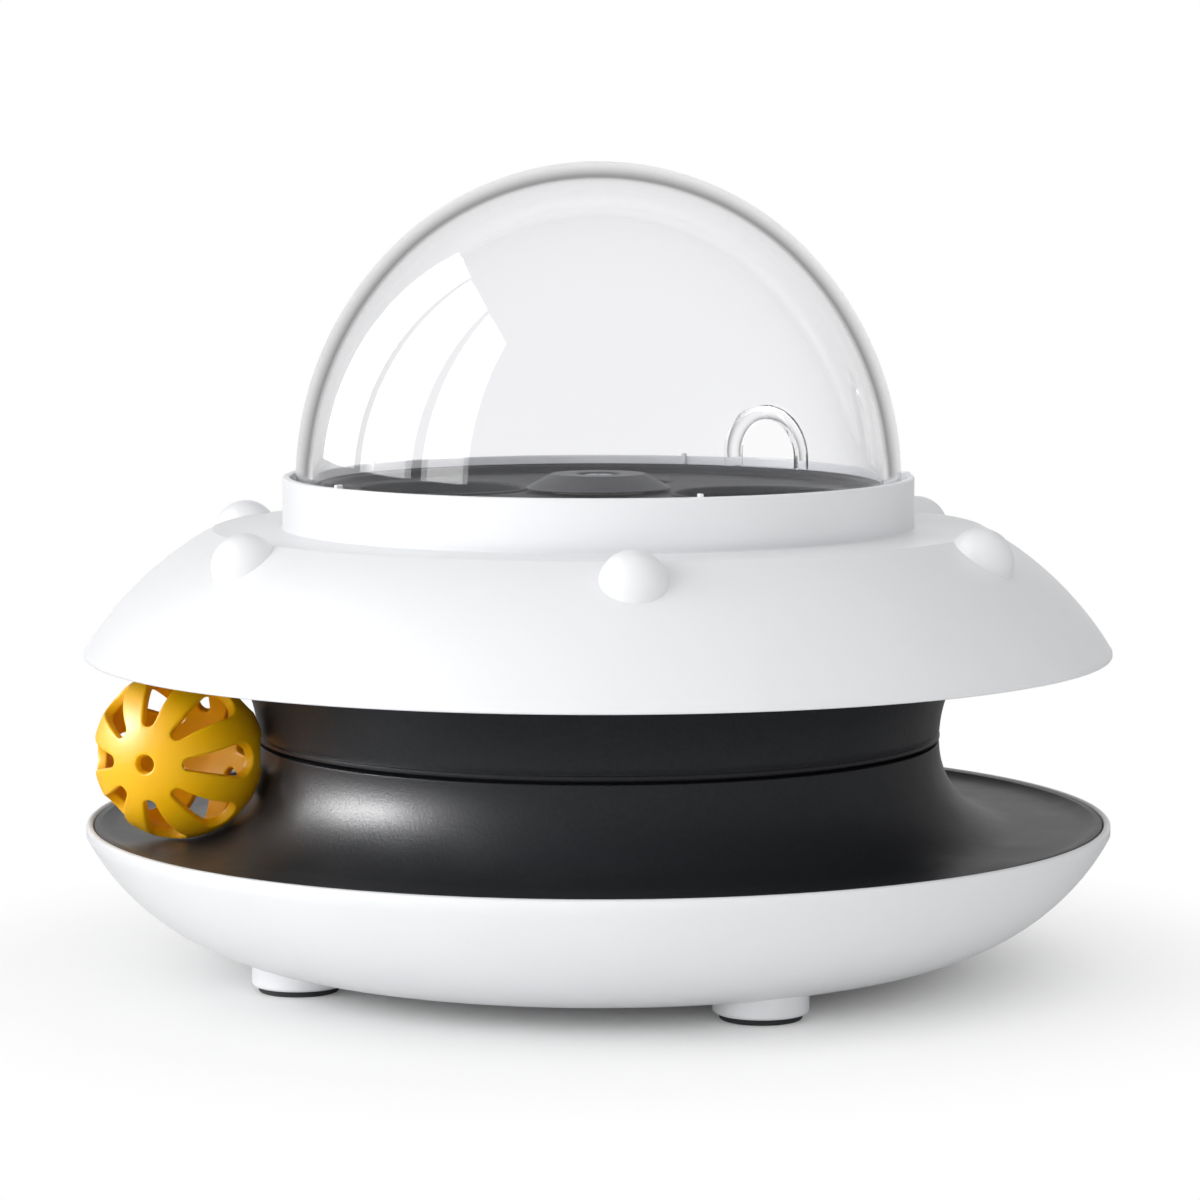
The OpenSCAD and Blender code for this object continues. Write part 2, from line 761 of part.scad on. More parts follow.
// teardrop outline between a narrow end and a wide end, along +X
module teardrop(from_x, to_x) {
    // the straight sides start just inside the round ends, so that they cross them cleanly
    inset = 0.97;
    translate([from_x, 0]) circle(slot_tip_r);
    translate([to_x, 0]) circle(slot_end_r);
    polygon([
        [from_x, inset * slot_tip_r], [to_x, inset * slot_end_r],
        [to_x, -inset * slot_end_r], [from_x, -inset * slot_tip_r]
    ]);
}

// cuts one slot through the ball's wall, square to the wall at the slot's middle
module ball_slot() {
    middle = (slot_from + slot_to) / 2;
    half = ball_r * sin((slot_to - slot_from) / 2);
    rotate([0, middle, 0]) translate([0, 0, ball_r / 3]) linear_extrude(ball_r)
        teardrop(slot_tip_r - half, half - slot_end_r);
}

// hollow ball with teardrop slots round each pole
module play_ball() {
    color(yellow) at_angle(ball_angle, track_r, ball_z)
        rotate([0, 0, ball_pole_angle - ball_angle]) rotate([0, 90, 0])
            rotate([0, 0, ball_slot_turn]) difference() {
                sphere(ball_r);
                sphere(ball_r - ball_wall);
                for (pole = [0, 1], a = around(ball_slots))
                    mirror([0, 0, pole]) rotate([0, 0, a]) ball_slot();
                translate([0, 0, -ball_r - cut]) cylinder(d = pole_hole_d, h = 2 * (ball_r + cut));
            }
}

base_bowl();
foot_pad(0);  // foot_pad_front_right
foot_pad(1);  // foot_pad_rear_right
foot_pad(2);  // foot_pad_rear_left
foot_pad(3);  // foot_pad_front_left
track_tray();
tray_screws();
spindle();
spindle_screws();
thrust_washer();
slip_washer();
hub_cap();
hub_screw();
neck_hood();
lower_bush();
upper_bush();
saucer_cover();
neck_screws();
treat_floor();
floor_screws();
dome();
play_ball();
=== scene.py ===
import math

import bmesh
import bpy
from bmesh.types import BMEdge, BMVert
from mathutils import Matrix, Vector


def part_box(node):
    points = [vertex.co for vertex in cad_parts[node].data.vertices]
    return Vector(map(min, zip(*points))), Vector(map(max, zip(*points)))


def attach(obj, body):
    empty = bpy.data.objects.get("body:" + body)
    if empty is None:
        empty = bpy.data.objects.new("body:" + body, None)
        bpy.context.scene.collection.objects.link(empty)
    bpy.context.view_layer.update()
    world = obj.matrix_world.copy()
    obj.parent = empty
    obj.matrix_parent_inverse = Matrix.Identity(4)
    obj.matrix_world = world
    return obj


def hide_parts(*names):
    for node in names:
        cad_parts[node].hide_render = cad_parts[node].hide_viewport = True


bl_info = {
    "name": "Cat treat dispenser toy",
    "version": (1, 0, 0),
    "blender": (4, 5, 0),
    "location": "3D View > Sidebar > Treat toy",
    "description": "Builds the looks of a spinning treat toy with a clear dome and a ball track",
    "category": "Object",
}

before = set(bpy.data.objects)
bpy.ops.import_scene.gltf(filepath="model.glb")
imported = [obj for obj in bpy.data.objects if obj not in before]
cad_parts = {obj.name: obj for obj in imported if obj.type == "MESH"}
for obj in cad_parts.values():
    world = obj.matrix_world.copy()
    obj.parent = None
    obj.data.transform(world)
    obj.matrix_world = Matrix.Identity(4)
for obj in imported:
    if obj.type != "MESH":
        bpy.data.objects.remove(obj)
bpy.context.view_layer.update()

MM = 0.001
# distance under which two corners of a mesh are one
MERGE = 0.002 * MM
# steps round the large turned pieces, the middling and the small ones, and along a rounded corner
TURN_STEPS = 192
CUP_STEPS = 96
SMALL_STEPS = 64
ROUND_STEPS = 6
# angle past which an edge between two faces stays sharp
SHARP = math.radians(32)
UP = (0, 0, 1)
WHITE = (1.0, 1.0, 1.0, 1.0)
# range that holds nearly all of a noise texture's values
NOISE_SPREAD = {"From Min": 0.3, "From Max": 0.7}
# angle of the first of the posts between bowl and tray, and height at which their screws' heads bear
POST_TURN = math.radians(45)
HEAD_SEAT = 8.2 * MM
# how far a direction points to the back: where the room ends, the dim strip is dimmest and the backdrop is white
ROOM_END, STRIP_MIDDLE, BACKDROP = 0.8, 0.86, 0.995


# Colours, nodes and materials

def linear(code):
    """Turns a hex sRGB colour into linear red, green and blue."""
    shares = [int(code[i:i + 2], 16) / 255 for i in (1, 3, 5)]
    return tuple(s / 12.92 if s <= 0.04045 else ((s + 0.055) / 1.055) ** 2.4 for s in shares)


def opaque(colour):
    return (*colour, 1.0)


def add_node(tree, kind, inputs=None, **settings):
    """Adds a node, sets its own settings, and fills its sockets with values or links from (node, socket)."""
    node = tree.nodes.new(kind)
    for key, value in settings.items():
        setattr(node, key, value)
    for socket, value in (inputs or {}).items():
        if isinstance(value, tuple) and isinstance(value[0], bpy.types.Node):
            tree.links.new(value[0].outputs[value[1]], node.inputs[socket])
        else:
            node.inputs[socket].default_value = value
    return node


def per_metre(size_mm):
    """Scale of a texture whose grain is a size in millimetres, on Object coordinates in metres."""
    return 1 / (size_mm * MM)


def material_of(build):
    """Gives the material that a function describes, under that function's name, and makes it the first time.

    The function gets the node tree, the Object coordinates and the toy's colours, and returns the shader."""
    material = bpy.data.materials.get(build.__name__)
    if material:
        return material
    material = bpy.data.materials.new(build.__name__)
    material.use_nodes = True
    tree = material.node_tree
    tree.nodes.clear()
    place = (add_node(tree, "ShaderNodeTexCoord"), "Object")
    shader = build(tree, place, bpy.context.scene.toy_colours)
    add_node(tree, "ShaderNodeOutputMaterial", {"Surface": (shader, 0)})
    return material


def moulded_white_abs(tree, place, colours):
    """Injection-moulded white ABS from a polished tool: satin gloss, a faint orange peel and a slow change of shine."""
    flow = add_node(tree, "ShaderNodeTexNoise", {"Vector": place, "Scale": per_metre(22), "Detail": 3.0})
    tint = add_node(tree, "ShaderNodeMix", {"Factor": (flow, 0), 6: opaque(colours.white),
                                            7: opaque(colours.white_shade)}, data_type="RGBA")
    shine = add_node(tree, "ShaderNodeMapRange", {"Value": (flow, 0), **NOISE_SPREAD, "To Min": 0.34, "To Max": 0.44})
    peel = add_node(tree, "ShaderNodeTexNoise", {"Vector": place, "Scale": per_metre(1.4), "Detail": 2.0})
    bump = add_node(tree, "ShaderNodeBump", {"Height": (peel, 0), "Strength": 0.12, "Distance": 0.05 * MM})
    return add_node(tree, "ShaderNodeBsdfPrincipled", {"Base Color": (tint, 2), "Roughness": (shine, 0),
                                                       "IOR": 1.54, "Normal": (bump, 0)})


def etched_black(tree, place, colours, smooth, dull, level):
    """Black ABS moulded in an etched tool: a fine leathery grain breaks up highlights between two roughnesses."""
    # wrinkles about 0.9 mm apart
    grain = add_node(tree, "ShaderNodeTexNoise", {"Vector": place, "Scale": per_metre(0.9),
                                                  "Detail": 1.0, "Distortion": 0.8})
    patch = add_node(tree, "ShaderNodeTexNoise", {"Vector": place, "Scale": per_metre(9), "Detail": 3.0})
    shine = add_node(tree, "ShaderNodeMapRange", {"Value": (patch, 0), **NOISE_SPREAD, "To Min": smooth,
                                                  "To Max": dull})
    tint = add_node(tree, "ShaderNodeMix", {"Factor": (grain, 0), 6: opaque(colours.black),
                                            7: opaque(colours.black_grain)}, data_type="RGBA")
    bump = add_node(tree, "ShaderNodeBump", {"Height": (grain, 0), "Strength": 0.4, "Distance": 0.1 * MM})
    return add_node(tree, "ShaderNodeBsdfPrincipled", {"Base Color": (tint, 2), "Roughness": (shine, 0), "IOR": 1.5,
                                                       "Specular IOR Level": level, "Normal": (bump, 0)})


def grained_black_abs(tree, place, colours):
    """Satin black ABS of the track, neck and hub: soft, broad window highlights."""
    return etched_black(tree, place, colours, 0.4, 0.44, 0.38)


def matt_black_abs(tree, place, colours):
    """Matt black ABS of the treat floor: the same grain with hardly any shine, so it stays dark under the dome."""
    return etched_black(tree, place, colours, 0.52, 0.58, 0.18)


def moulded_black_rubber(tree, place, colours):
    """Moulded black rubber: dull, a little grey, with a fine matt skin."""
    skin = add_node(tree, "ShaderNodeTexNoise", {"Vector": place, "Scale": per_metre(0.6), "Detail": 4.0})
    tint = add_node(tree, "ShaderNodeMix", {"Factor": (skin, 0), 6: opaque(colours.rubber),
                                            7: opaque(colours.rubber_bloom)}, data_type="RGBA")
    bump = add_node(tree, "ShaderNodeBump", {"Height": (skin, 0), "Strength": 0.4, "Distance": 0.06 * MM})
    return add_node(tree, "ShaderNodeBsdfPrincipled", {"Base Color": (tint, 2), "Roughness": 0.78, "IOR": 1.52,
                                                       "Normal": (bump, 0)})


def clear_polystyrene(tree, place, colours):
    """Clear moulded polystyrene: a glassy polish with the faintest waviness, and light passes through to the floor."""
    wave = add_node(tree, "ShaderNodeTexNoise", {"Vector": place, "Scale": per_metre(35), "Detail": 1.0})
    bump = add_node(tree, "ShaderNodeBump", {"Height": (wave, 0), "Strength": 0.05, "Distance": 0.3 * MM})
    shader = add_node(tree, "ShaderNodeBsdfPrincipled", {"Base Color": opaque(colours.clear), "Roughness": 0.015,
                                                         "IOR": 1.52, "Transmission Weight": 1.0,
                                                         "Normal": (bump, 0)})
    window = add_node(tree, "ShaderNodeBsdfTransparent", {"Color": opaque(colours.clear)})
    rays = add_node(tree, "ShaderNodeLightPath")
    return add_node(tree, "ShaderNodeMixShader", {0: (rays, "Is Shadow Ray"), 1: (shader, 0), 2: (window, 0)})


def moulded_yellow_polypropylene(tree, place, colours):
    """Yellow moulded polypropylene: soft satin gloss, a little light glowing through the thin wall."""
    flow = add_node(tree, "ShaderNodeTexNoise", {"Vector": place, "Scale": per_metre(8), "Detail": 3.0})
    tint = add_node(tree, "ShaderNodeMix", {"Factor": (flow, 0), 6: opaque(colours.yellow),
                                            7: opaque(colours.yellow_shade)}, data_type="RGBA")
    shine = add_node(tree, "ShaderNodeMapRange", {"Value": (flow, 0), **NOISE_SPREAD, "To Min": 0.4, "To Max": 0.48})
    skin = add_node(tree, "ShaderNodeTexNoise", {"Vector": place, "Scale": per_metre(0.9), "Detail": 2.0})
    bump = add_node(tree, "ShaderNodeBump", {"Height": (skin, 0), "Strength": 0.1, "Distance": 0.04 * MM})
    return add_node(tree, "ShaderNodeBsdfPrincipled", {"Base Color": (tint, 2), "Roughness": (shine, 0),
                                                       "IOR": 1.42, "Subsurface Weight": 0.25,
                                                       "Subsurface Radius": (1.0, 0.35, 0.05),
                                                       "Subsurface Scale": 2 * MM, "Normal": (bump, 0)})


def zinc_plated_steel(tree, place, colours):
    """Zinc-plated screw steel: bright grey metal with small patches of duller, slightly uneven plating."""
    patch = add_node(tree, "ShaderNodeTexNoise", {"Vector": place, "Scale": per_metre(1.2), "Detail": 4.0})
    shine = add_node(tree, "ShaderNodeMapRange", {"Value": (patch, 0), **NOISE_SPREAD, "To Min": 0.24, "To Max": 0.4})
    bump = add_node(tree, "ShaderNodeBump", {"Height": (patch, 0), "Strength": 0.2, "Distance": 0.03 * MM})
    return add_node(tree, "ShaderNodeBsdfPrincipled", {"Base Color": opaque(colours.steel), "Metallic": 1.0,
                                                       "Roughness": (shine, 0), "Normal": (bump, 0)})


def natural_acetal(tree, place, colours):
    """Natural acetal for the bearings: milky off-white, slippery satin, with a soft mottle."""
    mottle = add_node(tree, "ShaderNodeTexNoise", {"Vector": place, "Scale": per_metre(5), "Detail": 3.0})
    tint = add_node(tree, "ShaderNodeMix", {"Factor": (mottle, 0), 6: opaque(colours.acetal),
                                            7: opaque(colours.acetal_shade)}, data_type="RGBA")
    shine = add_node(tree, "ShaderNodeMapRange", {"Value": (mottle, 0), **NOISE_SPREAD, "To Min": 0.32,
                                                  "To Max": 0.45})
    return add_node(tree, "ShaderNodeBsdfPrincipled", {"Base Color": (tint, 2), "Roughness": (shine, 0), "IOR": 1.48})


# Outlines and turned forms

def arc(centre, radius, start, end, steps):
    """Points of an arc in the (radius, height) plane, from one angle to another in radians."""
    angles = [start + (end - start) * i / steps for i in range(steps + 1)]
    return [(centre[0] + radius * math.cos(a), centre[1] + radius * math.sin(a)) for a in angles]


def rounded(corners, closed=False):
    """Points of an outline whose corners are (radius, height) or (radius, height, rounding)."""
    points = []
    count = len(corners)
    for i, corner in enumerate(corners):
        here = Vector(corner[:2])
        if len(corner) < 3 or not corner[2] or (not closed and i in (0, count - 1)):
            points.append(tuple(here))
            continue
        back = Vector(corners[i - 1][:2]) - here
        ahead = Vector(corners[(i + 1) % count][:2]) - here
        half = back.angle(ahead) / 2
        reach = min(corner[2] / math.tan(half), 0.49 * back.length, 0.49 * ahead.length)
        back.normalize()
        ahead.normalize()
        middle = here + (back + ahead).normalized() * reach / math.cos(half)
        start, end = here + back * reach - middle, here + ahead * reach - middle
        turn = start.angle_signed(end)
        for step in range(ROUND_STEPS + 1):
            share = turn * step / ROUND_STEPS
            cos, sin = math.cos(-share), math.sin(-share)
            points.append((middle.x + start.x * cos - start.y * sin, middle.y + start.x * sin + start.y * cos))
    return points


def lathe(outline, closed=False, steps=TURN_STEPS):
    """Turns an outline of (radius, height) points round the vertical axis into a closed skin."""
    form = bmesh.new()
    verts = [form.verts.new((r, 0, z)) for r, z in outline]
    pairs = list(zip(verts, verts[1:])) + ([(verts[-1], verts[0])] if closed else [])
    edges = [form.edges.new(pair) for pair in pairs]
    bmesh.ops.spin(form, geom=verts + edges, cent=(0, 0, 0), axis=UP, angle=math.tau, steps=steps, use_merge=True)
    weld(form)
    return form


def only(kind, geom):
    """The vertices, or the edges, among what an operator made."""
    return [part for part in geom if isinstance(part, kind)]


def whole(form):
    return form.verts[:] + form.edges[:] + form.faces[:]


def weld(form):
    bmesh.ops.remove_doubles(form, verts=form.verts, dist=MERGE)
    bmesh.ops.recalc_face_normals(form, faces=form.faces)


def peg(radius, low, high, low_round=0.0, high_round=0.0, steps=SMALL_STEPS):
    """A plain round bar between two heights, with the roundings of its two edges."""
    return lathe(rounded([(0, low), (radius, low, low_round), (radius, high, high_round), (0, high)]), steps=steps)


def block(size, middle):
    """A plain box with its middle at a point."""
    form = bmesh.new()
    bmesh.ops.create_cube(form, size=1, matrix=Matrix.LocRotScale(middle, None, size))
    return form


def around(angle, radius=0.0, height=0.0):
    """Placement at an angle from the front, counted towards the right, with +X pointing outwards."""
    return Matrix.Rotation(angle - math.pi / 2, 4, "Z") @ Matrix.Translation((radius, 0, height))


def ring_of(count, turn, radius, height=0.0):
    return [around(turn + math.tau * i / count, radius, height) for i in range(count)]


def repeat(form, places):
    """Puts a copy of a form at each placement."""
    source = whole(form)
    for place in places[1:]:
        copy = bmesh.ops.duplicate(form, geom=source)["geom"]
        bmesh.ops.transform(form, matrix=place, verts=only(BMVert, copy))
    bmesh.ops.transform(form, matrix=places[0], verts=only(BMVert, source))
    return form


def combine(form, tool, operation):
    """Joins a tool to a form, or cuts it out of the form, with the exact Boolean."""
    helpers = []
    for part in (form, tool):
        mesh = bpy.data.meshes.new("helper")
        part.to_mesh(mesh)
        part.free()
        helper = bpy.data.objects.new("helper", mesh)
        bpy.context.scene.collection.objects.link(helper)
        helpers.append(helper)
    change = helpers[0].modifiers.new("combine", "BOOLEAN")
    change.operation = operation
    change.solver = "EXACT"
    change.object = helpers[1]
    result = bmesh.new()
    result.from_object(helpers[0], bpy.context.evaluated_depsgraph_get())
    for helper in helpers:
        mesh = helper.data
        bpy.data.objects.remove(helper)
        bpy.data.meshes.remove(mesh)
    if not result.faces:
        raise RuntimeError("the Boolean left nothing")
    bmesh.ops.remove_doubles(result, verts=result.verts, dist=MERGE)
    return result


def make_piece(name, form, finish, body, nodes):
    """Turns a finished form into an object that rides on a body and stands for CAD nodes."""
    mesh = bpy.data.meshes.new(name)
    form.to_mesh(mesh)
    form.free()
    mesh.shade_smooth()
    mesh.set_sharp_from_angle(angle=SHARP)
    mesh.materials.append(material_of(finish))
    piece = bpy.data.objects.new(name, mesh)
    bpy.context.scene.collection.objects.link(piece)
    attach(piece, body)
    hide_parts(*nodes)
    return piece


def keep_flat(piece):
    """Lets large faces lead the shading beside cuts and fillets."""
    lead = piece.modifiers.new("keep_flat", "WEIGHTED_NORMAL")
    lead.keep_sharp = True


def pan_screw(shank_r, head_r, head_h, length):
    """A pan-head screw pointing down, with its head's underside at zero, a cross recess and a blunt tip."""
    form = lathe(rounded([
        (0, head_h), (head_r * 0.72, head_h, 0.5 * MM), (head_r, head_h * 0.45, 0.6 * MM), (head_r, 0, 0.2 * MM),
        (shank_r, 0), (shank_r, -length + shank_r / 2, 0.3 * MM), (shank_r / 2, -length), (0, -length)
    ]), steps=SMALL_STEPS)
    depth = 0.55 * head_h
    for size in ((head_r * 1.05, head_r * 0.24, depth * 2), (head_r * 0.24, head_r * 1.05, depth * 2)):
        form = combine(form, block(size, (0, 0, head_h)), "DIFFERENCE")
    return form


# Sizes and colours

def length(name, description, default):
    return bpy.props.FloatProperty(name=name, description=description, default=default, min=0.0, unit="LENGTH",
                                   precision=5)


def power(name, description, watts):
    return bpy.props.FloatProperty(name=name, description=description, default=watts, min=0.0, unit="POWER")


def strength(name, description, default):
    return bpy.props.FloatProperty(name=name, description=description, default=default, min=0.0)


def angle(name, description, degrees):
    return bpy.props.FloatProperty(name=name, description=description, default=math.radians(degrees),
                                   subtype="ANGLE")


def colour(name, description, code):
    return bpy.props.FloatVectorProperty(name=name, description=description, default=linear(code), size=3,
                                         min=0.0, max=1.0, subtype="COLOR")


class ToyColours(bpy.types.PropertyGroup):
    """Colours of the toy's plastics, rubber and metal"""
    white: colour("White", "White shell", "#EDEEF0")
    white_shade: colour("White shade", "Faint flow marks in the white shell", "#E8E9EB")
    black: colour("Black", "Black plastic", "#26272A")
    black_grain: colour("Black grain", "Tops of the grain on the black plastic", "#313236")
    rubber: colour("Rubber", "Rubber feet", "#2A2B2C")
    rubber_bloom: colour("Rubber bloom", "Greyer skin of the rubber", "#363738")
    clear: colour("Clear", "Clear dome", "#FEFEFF")
    yellow: colour("Yellow", "Play ball", "#FFC403")
    yellow_shade: colour("Yellow shade", "Deeper flow marks in the play ball", "#FFBC00")
    steel: colour("Steel", "Plated screws", "#B9BCC0")
    acetal: colour("Acetal", "Bearing plastic", "#E7E3D6")
    acetal_shade: colour("Acetal shade", "Soft mottle in the bearing plastic", "#DCD7C8")
    floor: colour("Floor", "Studio floor", "#FCFCFC")


class ToySizes(bpy.types.PropertyGroup):
    """Sizes of the toy, as its solids have them"""
    bowl_r: length("Bowl radius", "Outer radius of the base bowl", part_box("base_bowl")[1].x)
    rim_z: length("Rim height", "Top of the bowl's rim above the ground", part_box("base_bowl")[1].z)
    foot_z: length("Boss height", "Underside of the foot bosses above the ground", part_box("base_bowl")[0].z)
    bowl_z: length("Bowl underside", "Flat underside of the bowl above the ground", 4.0 * MM)
    bowl_curve: length("Bowl curve", "Radius of the curve in the bowl's side", 54.0 * MM)
    bowl_wall: length("Bowl wall", "Wall of the bowl", 2.4 * MM)
    rim_band: length("Rim band", "Straight band at the top of the bowl's side", 2.4 * MM)
    rim_lip: length("Rim lip", "Width of the rounded lip outside the track", 1.7 * MM)
    seat_r: length("Seat radius", "Inner radius of the ledge under the track", 115.0 * MM)
    seat_z: length("Seat height", "Ledge under the track above the ground", 31.48 * MM)
    foot_d: length("Boss diameter", "Diameter of a foot boss", 21.5 * MM)
    foot_circle: length("Feet circle", "Radius of the circle that the feet stand on", 77.2 * MM)
    foot_turn: angle("Feet turn", "Angle of the right front foot", 27.7)
    pad_d: length("Pad diameter", "Diameter of a rubber pad", 18.5 * MM)
    pad_h: length("Pad height", "Height of a rubber pad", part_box("foot_pad_front_right")[1].z)
    post_circle: length("Post circle", "Radius of the circle of the tray's posts", 62.0 * MM)
    tray_r: length("Tray radius", "Outer radius of the track tray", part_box("track_tray")[1].x)
    tray_z: length("Tray edge", "Height of the tray's edge", 35.0 * MM)
    tray_lip: length("Tray lip", "Width of the flat lip at the tray's edge", 1.6 * MM)
    track_r: length("Track radius", "Radius of the ball's path", 100.0 * MM)
    track_z: length("Track height", "Height of the bottom of the track", 33.6 * MM)
    track_curl: length("Track curl", "Radius of the curl at the track's outer side", 6.0 * MM)
    deck_z: length("Deck height", "Height of the tray's deck", 53.6 * MM)
    dust_lip_r: length("Dust lip radius", "Inner radius of the lip inside the neck", 74.6 * MM)
    tray_wall: length("Tray wall", "Wall of the track tray", 2.4 * MM)
    neck_r: length("Neck radius", "Outer radius of the neck at its bottom", 80.0 * MM)
    neck_z: length("Neck height", "Bottom of the spinning neck", 54.4 * MM)
    neck_curve: length("Neck curve", "Radius of the curve in the neck's side", 30.0 * MM)
    ceiling_z: length("Ceiling height", "Ceiling over the track", 76.4 * MM)
    flange_r: length("Flange radius", "Outer radius of the neck's flange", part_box("neck_hood")[1].x)
    web_z: length("Web height", "Underside of the web inside the neck", 62.4 * MM)
    sleeve_r: length("Sleeve radius", "Inner radius of the sleeve round the bushes", 12.65 * MM)
    sleeve_wall: length("Sleeve wall", "Wall of the sleeve round the bushes", 3.0 * MM)
    sleeve_top: length("Sleeve top", "Top of the sleeve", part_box("neck_hood")[1].z)
    sleeve_z: length("Sleeve bottom", "Bottom of the sleeve", 58.1 * MM)
    saucer_r: length("Saucer radius", "Outer radius of the saucer at its lip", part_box("saucer_cover")[1].x)
    lip_z: length("Lip height", "Bottom of the saucer's lip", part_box("saucer_cover")[0].z)
    lip_band: length("Lip band", "Straight band at the saucer's lip", 1.2 * MM)
    saucer_curve: length("Saucer curve", "Radius of the curve in the saucer's side", 78.0 * MM)
    saucer_wall: length("Saucer wall", "Wall of the saucer", 2.6 * MM)
    ledge_z: length("Ledge height", "Ledge round the collar", 103.4 * MM)
    ledge_r: length("Ledge radius", "Radius of the crease outside the ledge", 90.1 * MM)
    collar_r: length("Collar radius", "Outer radius of the collar", 73.8 * MM)
    collar_wall: length("Collar wall", "Wall of the collar", 1.7 * MM)
    collar_z: length("Collar height", "Top of the collar", 115.5 * MM)
    shelf_z: length("Shelf height", "Shelf that carries the treat floor", 104.9 * MM)
    shelf_r: length("Shelf radius", "Inner radius of that shelf", 61.1 * MM)
    bump_r: length("Bump radius", "Radius of a bump on the saucer", 7.7 * MM)
    bump_h: length("Bump height", "Height of a bump above the saucer", 6.2 * MM)
    bump_turn: angle("Bump turn", "Angle of the first bump", 4.5)
    rib_w: length("Rib width", "Width of a locating rib on the collar", 1.0 * MM)
    rib_h: length("Rib height", "Height of a locating rib above the collar", 0.7 * MM)
    rib_turn: angle("Rib turn", "Angle of the first locating rib", 18.0)
    floor_z: length("Floor height", "Upper face of the treat floor", 111.5 * MM)
    floor_edge_z: length("Floor edge", "Top of the floor's raised edge", 113.4 * MM)
    floor_wall: length("Floor wall", "Wall of the treat floor", 2.4 * MM)
    floor_r: length("Floor radius", "Outer radius of the treat floor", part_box("treat_floor")[1].x)
    groove_z: length("Groove height", "Bottom of the groove for the dome's foot", 107.4 * MM)
    groove_r: length("Groove radius", "Outer radius of that groove", 71.05 * MM)
    groove_in: length("Groove inner radius", "Inner radius of that groove", 66.37 * MM)
    well_d: length("Well diameter", "Diameter of a treat well", 39.0 * MM)
    well_depth: length("Well depth", "Depth of a treat well", 12.0 * MM)
    well_circle: length("Well circle", "Radius of the circle of the treat wells", 38.1 * MM)
    well_turn: angle("Well turn", "Angle of the first treat well", 78.0)
    small_well_d: length("Small well diameter", "Diameter of the small well behind the hub", 14.0 * MM)
    small_well_depth: length("Small well depth", "Depth of the small well", 8.0 * MM)
    small_well_r: length("Small well circle", "Distance of the small well from the middle", 34.0 * MM)
    small_well_turn: angle("Small well turn", "Angle of the small well", 161.0)
    dome_r: length("Dome radius", "Outer radius of the dome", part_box("dome")[1].x)
    dome_z: length("Dome foot", "Bottom of the dome's foot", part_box("dome")[0].z)
    dome_top: length("Dome top", "Top of the dome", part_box("dome")[1].z)
    dome_foot_h: length("Dome foot height", "Foot of the dome below its widest level", 6.5 * MM)
    dome_wall: length("Dome wall", "Wall of the dome", 3.8 * MM)
    outlet_w: length("Outlet width", "Width of the treat outlet", 18.0 * MM)
    outlet_z: length("Outlet height", "Sill of the treat outlet", 113.6 * MM)
    outlet_side: length("Outlet sides", "Height of the outlet's straight sides", 3.0 * MM)
    outlet_turn: angle("Outlet turn", "Angle of the treat outlet", 141.0)
    bead_w: length("Bead width", "Width of the bead round the outlet", 4.3 * MM)
    bead_h: length("Bead height", "Height of that bead above the dome's faces", 0.8 * MM)
    hub_r: length("Hub radius", "Radius of the hub cap at its base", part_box("hub_cap")[1].x)
    hub_top: length("Hub top radius", "Radius of the hub cap at its top", 11.0 * MM)
    hub_hole: length("Hub hole", "Radius of the hole in the hub cap", 5.2 * MM)
    hub_hole_depth: length("Hub hole depth", "Depth of the hole in the hub cap", 2.0 * MM)
    ball_wall: length("Ball wall", "Wall of the play ball", 2.4 * MM)
    ball_turn: angle("Ball turn", "Angle that the ball's pole points to", -18.0)
    slot_from: angle("Slot start", "Angle from the pole to a slot's narrow end", 26.0)
    slot_to: angle("Slot end", "Angle from the pole to a slot's wide end", 83.0)
    slot_tip: length("Slot tip", "Radius of a slot's narrow end", 1.5 * MM)
    slot_end: length("Slot wide end", "Radius of a slot's wide end", 4.0 * MM)
    pole_hole: length("Pole hole", "Diameter of the hole in each pole of the ball", 4.4 * MM)
    slot_round: length("Slot rounding", "Rounding of the slots' rims", 0.75 * MM)


class StageSettings(bpy.types.PropertyGroup):
    """Camera, floor and lights of the studio"""
    camera_y: length("Camera distance", "Camera in front of the toy's axis", 1.0116)
    camera_z: length("Camera height", "Camera above the floor", 0.1875)
    camera_pitch: angle("Camera pitch", "How far the camera looks down", math.degrees(0.1))
    camera_lens: bpy.props.FloatProperty(name="Lens", description="Focal length on a 36 mm sensor",
                                         default=129.94, unit="CAMERA")
    window_power: power("Window light", "Power of each pane of the window", 11.0)
    glare_power: power("Window glare", "Power of the bright part low in the window", 40.0)
    key_power: power("Key light", "Power of the soft light from the window's side", 12.5)
    top_power: power("Top light", "Power of the soft light overhead", 3.4)
    front_power: power("Front card", "Power of the low soft light in front", 0.8)
    fill: strength("Fill", "Strength of the white room as a light", 0.57)
    room: strength("Room", "Brightness of the room as gloss sees it", 0.26)
    edge_strip: strength("Edge strip", "Brightness of the strips that glass sees beside the backdrop", 0.26)
    floor_lift: strength("Floor lift", "Whiteness added to the floor as it is seen", 0.01)
    shadow_from: length("Shadow start", "Distance from the middle at which the floor starts to turn plain white", 0.05)
    shadow_to: length("Shadow end", "Distance from the middle at which the floor is plain white", 0.19)


# Base

